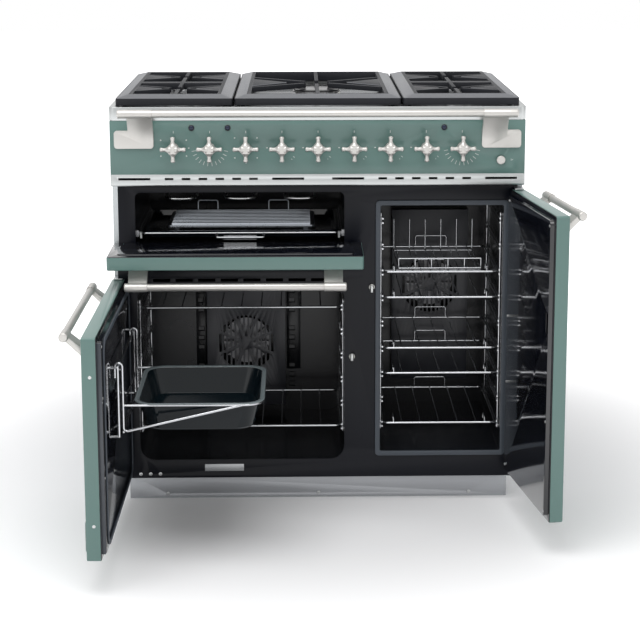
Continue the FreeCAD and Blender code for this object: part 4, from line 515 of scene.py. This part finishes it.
# ---- hob tray -----------------------------------------------------------------------------
# One pressing of stainless steel, brushed from side to side, with a turned-down skirt. Its well
# under the burners is painted darker: painted shade and painted reflection of the pan supports.
steel = drawn("brushed_steel", (0.46, 0.475, 0.475), 0.32, ACROSS)
well_painted_shade = drawn("well_painted_shade", (0.15, 0.16, 0.17), 0.3, ACROSS)
PAINTED_SHADE_TOP = 0.8985


def mark(piece, material, test):
    """Give a second colour to the faces that pass a test of middle and normal; used for painted
    shade and painted highlights.
    """
    piece.data.materials.append(material)
    for face in piece.data.polygons:
        if test(face.center, face.normal):
            face.material_index = 1


hob = eased("hob_tray", "hob_pressing", steel, "brushed_steel", width=0.0009)
# The well's upward faces take a dark steel: painted shade and painted reflection of the supports.
mark(hob, well_painted_shade, lambda at, normal: at.z < PAINTED_SHADE_TOP and normal.z > 0.5)

# ---- burners ------------------------------------------------------------------------------
# A turned aluminium head with flame ports cut round its rim, and an enamelled cap that lifts
# off. A white ceramic spark plug with a wire tip stands beside each head.
burner_metal = drawn("burner_aluminium", (0.72, 0.72, 0.72), 0.32, (200, 200, 40))
cap_enamel = coated("cap_enamel", (0.012, 0.012, 0.014), 0.3, drift=0.4, ripple=(400, 0.1),
                    coat=0.3)
ceramic = coated("spark_ceramic", (0.72, 0.72, 0.68), 0.25, drift=0.1, ripple=(500, 0.05),
                 coat=0.4)
BURNERS = [(-0.309, -0.132, 0.038), (-0.309, 0.132, 0.030), (0.309, -0.132, 0.030),
           (0.309, 0.132, 0.038), (0.0, 0.0, 0.056)]
HEAD_Z, CAP_Z, PLUG_Z = 0.897, 0.9100, 0.8972
PORT_ZONE = (0.9015, 0.908)
PORT_SIDES = 48
PORT_WALL, PORT_DEPTH = 0.0006, 0.0012
PLUG = [(0.010, 0.0032), (0, 0.0022), (0.004, 0.0022), (0, 0.0009), (0.003, 0.0008)]


def burner_head(x, y, radius):
    """Head with a foot, a waist and a flange, and every second rim face let in as a port."""
    steps = [(0.003, radius + 0.004), (0.001, radius + 0.0025), (0, radius * 0.8),
             (0.0068, radius * 0.97), (0.0002, radius), (0.002, radius), (0, radius - 0.004),
             (-0.001, radius - 0.006)]
    head = turned((x, y, HEAD_Z), UP, steps, PORT_SIDES)
    pick(head, lambda at, normal: abs(normal.z) < 0.5 and PORT_ZONE[0] < at.z < PORT_ZONE[1])
    mesh = bmesh.from_edit_mesh(head.data)
    for face in [face for face in mesh.faces if face.select]:
        at = face.calc_center_median()
        turn = math.atan2(at.y - y, at.x - x)
        face.select_set(round(turn / math.tau * PORT_SIDES - 0.5) % 2 == 0)
    bmesh.update_edit_mesh(head.data)
    bpy.ops.mesh.inset(thickness=PORT_WALL, depth=-PORT_DEPTH, use_individual=True)
    bpy.ops.object.mode_set(mode="OBJECT")
    return head


def burner_cap(x, y, wide):
    """Low cap with a rounded edge and a shallow dish on top."""
    steps = [(0.001, wide - 0.001), (0.0008, wide), (0.0016, wide - 0.0002),
             (0.0012, wide - 0.0016), (0.0004, wide - 0.004), (0, wide * 0.55),
             (0.0003, wide * 0.5)]
    return turned((x, y, CAP_Z), UP, steps, sides=48)


heads, caps, plugs = [], [], []
for x, y, radius in BURNERS:
    heads.append(burner_head(x, y, radius))
    caps.append(burner_cap(x, y, radius * 0.94))
    side = radius + 0.009
    plugs.append(turned((x + side * 0.8, y - side * 0.6, PLUG_Z), UP, PLUG, sides=16))
finish(joined(heads), "burner_heads_turned", burner_metal, "cabinet", "aluminium", "burner_heads")
finish(joined(caps), "burner_caps_enamelled", cap_enamel, "cabinet", "cast_iron", "burner_caps")
finish(joined(plugs), "spark_plugs", ceramic, "cabinet", "aluminium")

# ---- pan supports -------------------------------------------------------------------------
# Three lift-off castings in grey iron with a matt enamel. Broad fingers taper from the border
# to the burner. The sloped upper edges are painted lighter, a painted highlight where they catch
# the light.
iron = coated("cast_iron", (0.011, 0.012, 0.016), 0.55, drift=0.6, ripple=(700, 0.35),
              specular=0.3)
iron_painted_highlight = coated("iron_painted_highlight", (0.10, 0.105, 0.12), 0.35, drift=0.5, ripple=(900, 0.2))
# Each finger: x at its root and at its tip, y, and how many times wider the root is.
FINGERS = {"left": [(-0.404, -0.348, -0.132, 13), (-0.214, -0.270, -0.132, 13),
                    (-0.404, -0.345, 0.132, 13), (-0.214, -0.273, 0.132, 13)],
           "centre": [(-0.148, -0.070, 0.0, 20), (0.148, 0.070, 0.0, 20)],
           "right": [(0.404, 0.345, -0.132, 13), (0.214, 0.273, -0.132, 13),
                     (0.404, 0.348, 0.132, 13), (0.214, 0.270, 0.132, 13)]}
FINGER_Z, FINGER_WIDTH, FINGER_HEIGHT = 0.9235, 0.008, 0.0104
FINGER_EDGE = 0.0014
SUPPORT_HIGHLIGHT_FROM = 0.9190


def finger(root, tip, y, spread):
    """Tapered finger between two places in x, with eased edges."""
    piece = begin("cube", size=1, location=((root + tip) / 2, y, FINGER_Z),
                  scale=(abs(tip - root), FINGER_WIDTH, FINGER_HEIGHT))
    side = math.copysign(1, root - tip)
    pick(piece, lambda at, normal: normal.x * side > 0.9)
    bpy.ops.transform.resize(value=(1, spread, 1), center_override=(root, y, FINGER_Z))
    pick(piece, lambda at, normal: True)
    bpy.ops.mesh.bevel(offset=FINGER_EDGE, segments=2, affect="EDGES")
    bpy.ops.object.mode_set(mode="OBJECT")
    return piece


for place, fingers in FINGERS.items():
    node = "pan_support_" + place
    wedges = joined([finger(*values) for values in fingers])
    finish(wedges, node + "_fingers", iron, node, "cast_iron")
    casting = eased(node, node + "_cast", iron, "cast_iron", width=0.0016, segments=3)
    # Sloped upper faces take a lighter iron: a painted highlight.
    for piece in (wedges, casting):
        mark(piece, iron_painted_highlight,
             lambda at, normal: 0.2 < normal.z < 0.965 and at.z > SUPPORT_HIGHLIGHT_FROM)

# ---- control panel ------------------------------------------------------------------------
# Pressed sheet, sprayed and stoved in a soft grey green, with plain white marks printed round
# the knobs: a tick at each rest, short strokes for low and high, and a dial of rays at two.
green = coated("green_enamel", (0.114, 0.212, 0.192), 0.36, drift=0.12, ripple=(420, 0.05),
               coat=0.3)
print_white = coated("printed_marks", (0.66, 0.69, 0.66), 0.5, drift=0.05)
eased("control_panel", "fascia_sheet", green, "green_enamel", width=0.0009)
PANEL_FACE = -0.300
KNOB_PITCH = 0.0779
KNOB_XS = [-0.3116 + KNOB_PITCH * i for i in range(9)]
KNOB_Z = 0.8165
INK_DEPTH, INK_CROWN = 0.00016, 0.00004
DIAL = [101 + 14.4 * i for i in range(12)]
# Rays round the knobs: knob, clock angles, radius, length and width.
RAYS = [(knob, [0], 0.0345, 0.0052, 0.0012) for knob in range(9)]
RAYS += [(knob, DIAL, 0.0355, 0.0085, 0.0012) for knob in (1, 8)]
RAYS += [(0, (-58, 58, -122, 122, 90), 0.0325, 0.0030, 0.0026),
         (2, (-48, 48, -132, 132, 180), 0.0325, 0.0026, 0.0026)]
for knob in range(3, 8):
    RAYS += [(knob, [-90], 0.0325, 0.0036, 0.0022), (knob, [128], 0.0325, 0.0042, 0.0012),
             (knob, [140], 0.0325, 0.0024, 0.0012)]


def stroke(x, z, length, width, turn):
    """Printed stroke on the panel, turned clockwise from upright, standing a hair proud."""
    piece = begin("cube", size=1, location=(0, 0, 0), scale=(width, INK_DEPTH, length))
    pick(piece, lambda at, normal: normal.y < -0.9)
    bpy.ops.mesh.inset(thickness=width * 0.12, depth=0)
    bpy.ops.transform.translate(value=(0, -INK_CROWN, 0))
    bpy.ops.object.mode_set(mode="OBJECT")
    place = Matrix.Translation((x, PANEL_FACE - 0.00006, z))
    piece.data.transform(place @ Matrix.Rotation(turn, 4, "Y"))
    return piece


def ray(knob, degrees, radius, length, width):
    """Stroke that points at a knob's middle."""
    turn = math.radians(degrees)
    return stroke(KNOB_XS[knob] + radius * math.sin(turn), KNOB_Z + radius * math.cos(turn),
                  length, width, turn)


marks = [ray(knob, degrees, *sizes) for knob, angles, *sizes in RAYS for degrees in angles]
# The light button's mark, to its right.
marks.append(stroke(0.4185, 0.789, 0.0046, 0.0010, 0))
marks.append(stroke(0.4215, 0.789, 0.0030, 0.0010, 0.9))
finish(joined(marks), "panel_marks", print_white, "cabinet", "green_enamel")

# ---- indicator lenses ---------------------------------------------------------------------
# Navy domes that light when an oven heats, each pushed through the panel from behind in a thin
# black bezel.
lens_glass = coated("navy_lens", (0.006, 0.014, 0.045), 0.15, drift=0.1, coat=0.2, specular=0.3)
LENS_Y, LENS_Z = -0.2985, 0.860
DOME = [(0.0025, 0.0052), (0.0008, 0.0047), (0.0007, 0.0036), (0.0004, 0.0018), (0.0001, 0.0006)]
BEZEL = [(0.0018, 0.0066), (0.0008, 0.0062), (0, 0.0054), (-0.0008, 0.0053)]
lens_places = [(KNOB_XS[i] + KNOB_PITCH / 2, LENS_Y, LENS_Z) for i in (0, 1, 7)]
domes = [turned(place, FRONT, DOME, sides=24) for place in lens_places]
bezels = [turned(place, FRONT, BEZEL, sides=32) for place in lens_places]
finish(joined(domes), "lens_domes", lens_glass, "cabinet", "lens", "indicator_lenses")
finish(joined(bezels), "lens_bezels", moulded, "cabinet", "foot_plastic")

# ---- knobs --------------------------------------------------------------------------------
# Cross-head knobs, cast and turned in brass and plated with a warm satin nickel. Each is a
# stepped skirt, a waisted neck, four arms with bulbed ends and a disc let into the boss.
nickel = drawn("satin_nickel", (0.58, 0.565, 0.54), 0.36, (160, 160, 160), depth=0.06,
               strength=0.012, metallic=0.55)
KNOB_STEM = [(0.0012, 0.0112), (0.0026, 0.0112), (0.0012, 0.0102), (0, 0.0094),
             (0.006, 0.0084), (0.0065, 0.0088), (0.0025, 0.0112), (0.0015, 0.0122),
             (0.0085, 0.0125), (0.0022, 0.0117), (0.0008, 0.0104), (0, 0.0096),
             (-0.0009, 0.0092), (0, 0.0066), (0.0014, 0.0064), (0.0004, 0.0054)]
KNOB_ARM = [(0.0085, 0.0092), (0.0030, 0.0066), (0.0030, 0.0047), (0.0035, 0.0040),
            (0.0030, 0.0044), (0.0024, 0.0051), (0.0022, 0.0051), (0.0014, 0.0043),
            (0.0008, 0.0026)]
ARM_Y = -0.0272
ARM_WAYS = ((1, 0, 0), (0, 0, 1), (-1, 0, 0), (0, 0, -1))

# The pattern stands at the origin, and each knob is a copy of it set on the panel.
stem = turned((0, -0.0010, 0), FRONT, KNOB_STEM, sides=40)
pattern = joined([stem] + [turned((0, ARM_Y, 0), way, KNOB_ARM, sides=20) for way in ARM_WAYS])
for i, x in enumerate(KNOB_XS):
    name = "knob_" + str(i + 1)
    knob = bpy.data.objects.new(name + "_turned", pattern.data.copy())
    bpy.context.collection.objects.link(knob)
    knob.data.transform(Matrix.Translation((x, PANEL_FACE, KNOB_Z)))
    finish(knob, name + "_turned", nickel, name, "satin_nickel", name, angle=40)
bpy.data.objects.remove(pattern)
eased("light_button", "light_button_turned", nickel, "satin_nickel", width=0.0003)

# ---- vent strip ---------------------------------------------------------------------------
# Brushed stainless sheet along the foot of the panel, punched with long and short slots that
# let the warm air out.
eased("vent_strip", "vent_strip_pressed", steel, "brushed_steel", width=0.0006)

# ---- label place --------------------------------------------------------------------------
# A bare plate of satin aluminium under the wide oven, cut from sheet and held to the frame by
# a small rivet at each end.
plate_metal = drawn("plate_aluminium", (0.42, 0.43, 0.44), 0.4, (8, 500, 500))
RIVET = [(0.0006, 0.0016), (0.0004, 0.0012), (0.0001, 0.0005)]
plate = [slat((-0.2572, -0.1693), (-0.2548, -0.2538), (0.0738, 0.0902))]
plate += [turned((x, -0.2546, 0.0820), FRONT, RIVET, sides=12) for x in (-0.2535, -0.1730)]
finish(joined(plate), "label_place", plate_metal, "cabinet", "aluminium")

# ---- gas rail -----------------------------------------------------------------------------
# A bent tube with brass taps, hidden behind the panel. Its threaded inlet comes out at the
# back.
brass = drawn("brass", (0.55, 0.42, 0.22), 0.3, (90, 90, 90))
clad(brass, "gas_rail_and_taps")

# ---- handrail -----------------------------------------------------------------------------
# A tube between two cast brackets, each screwed to the panel through its foot, and plated like
# the knobs.
eased("handrail", "handrail_plated", nickel, "satin_nickel", width=0.0014, segments=3)

# ---- doors --------------------------------------------------------------------------------
# Folded sheet trays in the panel's green, with a black enamelled liner screwed in behind and a
# tube handle in two cast brackets. A wire rack for the roasting tin is fixed to the main door.
liner_enamel = coated("liner_enamel", (0.005, 0.006, 0.010), 0.1, drift=0.5,
                      ripple=(120, 0.05), coat=0.5)
for door in ("main_door", "tall_door", "grill_door"):
    eased(door + "_shell", door + "_tray", green, "green_enamel", width=0.0013, segments=3)
    eased(door + "_handle", door + "_grip", nickel, "satin_nickel", width=0.0011)
    eased(door + "_liner", door + "_liner_enamelled", liner_enamel, "black_enamel",
          width=0.0011)
clad(chrome, "main_door_rack")

# ---- hinges and catches -------------------------------------------------------------------
# Bright zinced brackets with pins, screwed to the frame. The two catches are white studs with
# a waist, which take the place of the CAD's plain rollers.
hardware = eased("hinges_catches_and_screws", "hinges_and_screws", bright, "steel_bright",
                 width=0.0004)
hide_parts("hinges_catches_and_screws")
CATCHES = [(0.0750, 0.3392), (0.1190, 0.4978)]
CATCH_REACH = (0.012, 0.020)
STUD = [(0.0014, 0.0066), (0.0006, 0.0060), (0, 0.0036), (0.0014, 0.0034), (0.0006, 0.0050),
        (0.0012, 0.0052), (0.0006, 0.0042), (0.0002, 0.0022)]
for x, z in CATCHES:
    pick(hardware, lambda at, normal: abs(at.x - x) < CATCH_REACH[0]
         and abs(at.z - z) < CATCH_REACH[1] and at.y > -0.262)
    bpy.ops.mesh.delete(type="FACE")
    bpy.ops.object.mode_set(mode="OBJECT")
studs = [turned((x, -0.2538, z), FRONT, STUD, sides=24) for x, z in CATCHES]
finish(joined(studs), "catch_studs", ceramic, "cabinet", "steel_bright")

# ---- door screws --------------------------------------------------------------------------
# Pan-head screws hold each liner to its tray, and two more sit in the main door's free edge.
# They are set out on the closed doors and swung open with them.
HINGE_Y = -0.282
TALL_HINGE, TALL_OPEN = 0.440, 98
MAIN_HINGE, MAIN_OPEN = -0.440, -90.5
LINER_FACE = -0.2584


def swung(piece, hinge_x, degrees):
    """Turn a piece laid out on a closed door to where the open door is."""
    turn = Matrix.Rotation(math.radians(degrees), 4, "Z")
    piece.data.transform(Matrix.Translation((hinge_x, HINGE_Y, 0)) @ turn
                         @ Matrix.Translation((-hinge_x, -HINGE_Y, 0)))
    return piece


def screw(place, axis=BACK, radius=0.0030):
    """Screw head: a low pan with a round recess."""
    steps = [(0.0006, radius), (0.0005, radius * 0.85), (0.0002, radius * 0.6),
             (0, radius * 0.35), (-0.0004, radius * 0.3)]
    return turned(place, axis, steps, sides=16)


screws = [screw((x, LINER_FACE, z))
          for x in (0.1145, 0.4320) for z in (0.098, 0.290, 0.440, 0.698)]
finish(swung(joined(screws), TALL_HINGE, TALL_OPEN), "tall_liner_screws", bright,
       "tall_oven_door", "steel_bright")
screws = [screw((x, LINER_FACE, z))
          for x in (-0.4300, 0.0765) for z in (0.098, 0.240, 0.400, 0.502)]
screws += [screw((0.0947, -0.2800, z), axis=(1, 0, 0), radius=0.0034) for z in (0.147, 0.446)]
finish(swung(joined(screws), MAIN_HINGE, MAIN_OPEN), "main_liner_screws", bright,
       "main_oven_door", "steel_bright")

# ---- liner edges and hinge straps ---------------------------------------------------------
# The main door's liner has thin strips of lighter enamel at its free side and its top, a painted
# highlight along its edges. Two chromed straps back the tall door's hinges on the frame, each
# held by a small screw.
# Lighter enamel for the liner's edges: a painted highlight.
liner_highlight = coated("liner_edge_painted_highlight", (0.040, 0.048, 0.062), 0.3, drift=0.3,
                     ripple=(160, 0.03), coat=0.2)
EDGE_Y = (-0.2676, -0.2588)
edges = [slat((0.0838, 0.0850), EDGE_Y, (0.0865, 0.5110)),
         slat((-0.4360, 0.0845), EDGE_Y, (0.5085, 0.5098))]
finish(swung(joined(edges), MAIN_HINGE, MAIN_OPEN), "main_liner_edge_highlights", liner_highlight,
       "main_oven_door", "black_enamel")
STRAP_LENGTH = 0.050
straps = []
for z in (0.105, 0.642):
    straps.append(slat((0.4250, 0.4300), (-0.2568, -0.2538), (z, z + STRAP_LENGTH)))
    straps.append(screw((0.4275, -0.2566, z + 0.006), axis=FRONT, radius=0.0018))
finish(joined(straps), "hinge_straps", chrome, "cabinet", "steel_bright")

# ---- back sheet screws --------------------------------------------------------------------
# Zinced pan-head screws, larger than the doors', hold the back sheet: a row along its foot and
# three up each edge.
BACK_FACE = 0.2996
back_places = [(x, 0.066) for x in (-0.438, -0.220, 0.0, 0.220, 0.438)]
back_places += [(x, z) for x in (-0.438, 0.438) for z in (0.250, 0.430, 0.610)]
back_screws = [screw((x, BACK_FACE, z), radius=0.004) for x, z in back_places]
finish(joined(back_screws), "back_sheet_screws", bright, "cabinet", "steel_bright")

# ---- roasting tin and its carrier ---------------------------------------------------------
# A deep pressed tin in glossy enamel with a rolled rim and a ribbed floor, in a cradle of
# chromed wire that hooks on the door's rack. The rim's top is painted lighter, a painted
# highlight.
tin_enamel = coated("tin_enamel", (0.004, 0.008, 0.011), 0.14, drift=0.5, ripple=(120, 0.04),
                    specular=0.3)
rim_painted_highlight = coated("rim_painted_highlight", (0.16, 0.19, 0.20), 0.2, drift=0.2, coat=0.5)
TIN_X, TIN_Y = -0.2459, -0.5017
TIN_BASE_Z = 0.2853
TIN_BASE = (0.2130, 0.2530)
TIN_SHEET = 0.0014
TIN_CORNER = 0.034
TIN_HIGHLIGHT_FROM = 0.3435
# From the base up the outside, over the rim and down the inside: rise and plan size.
TIN_WALL = [(0.003, (0.2200, 0.2600)), (0.0535, (0.2490, 0.2890)), (0.0012, (0.2630, 0.3030)),
            (0.0016, (0.2655, 0.3048)), (0.0012, (0.2630, 0.3030)), (0, (0.2520, 0.2920)),
            (-0.0016, (0.2455, 0.2855)), (-0.0540, (0.2150, 0.2550)),
            (-0.0016, (0.2080, 0.2480))]
RIB_SIZE = (0.168, 0.0080, 0.0022)
RIB_Z, RIB_TOP = 0.2880, 0.2891
RIB_FIRST, RIB_PITCH, RIBS = -0.6000, 0.0197, 11


def select_upright_edges(piece):
    """Open a piece for editing with its upright edges selected."""
    bpy.ops.object.mode_set(mode="EDIT")
    bpy.ops.mesh.select_mode(type="EDGE")
    bpy.ops.mesh.select_all(action="DESELECT")
    mesh = bmesh.from_edit_mesh(piece.data)
    for edge in mesh.edges:
        run = edge.verts[0].co - edge.verts[1].co
        edge.select_set(abs(run.x) < 1e-5 and abs(run.y) < 1e-5)
    bmesh.update_edit_mesh(piece.data)


def rib(y):
    """Rib pressed up in the tin's floor, narrower on top."""
    piece = begin("cube", size=1, location=(TIN_X, y, RIB_Z), scale=RIB_SIZE)
    pick(piece, lambda at, normal: normal.z > 0.9)
    bpy.ops.transform.resize(value=(0.97, 0.35, 1), center_override=(TIN_X, y, RIB_TOP))
    bpy.ops.object.mode_set(mode="OBJECT")
    return piece


tin = begin("cube", size=1, location=(TIN_X, TIN_Y, TIN_BASE_Z), scale=(*TIN_BASE, TIN_SHEET))
select_upright_edges(tin)
bpy.ops.mesh.bevel(offset=TIN_CORNER, segments=8, affect="EDGES")
pick(tin, lambda at, normal: normal.z > 0.9)
last = TIN_BASE
for rise, plan in TIN_WALL:
    bpy.ops.mesh.extrude_region_move(TRANSFORM_OT_translate={"value": (0, 0, rise)})
    bpy.ops.transform.resize(value=(plan[0] / last[0], plan[1] / last[1], 1),
                             center_override=(TIN_X, TIN_Y, 0))
    last = plan
bpy.ops.object.mode_set(mode="OBJECT")
bevelled(tin, 0.0010, 2, sharp=40)
tin = joined([tin] + [rib(RIB_FIRST + RIB_PITCH * i) for i in range(RIBS)])
finish(tin, "roasting_tin_pressed", tin_enamel, "roasting_tin", "black_enamel", "roasting_tin")
# The rim's top faces take a lighter enamel: a painted highlight.
mark(tin, rim_painted_highlight, lambda at, normal: at.z > TIN_HIGHLIGHT_FROM)
clad(chrome, "roasting_carrier")
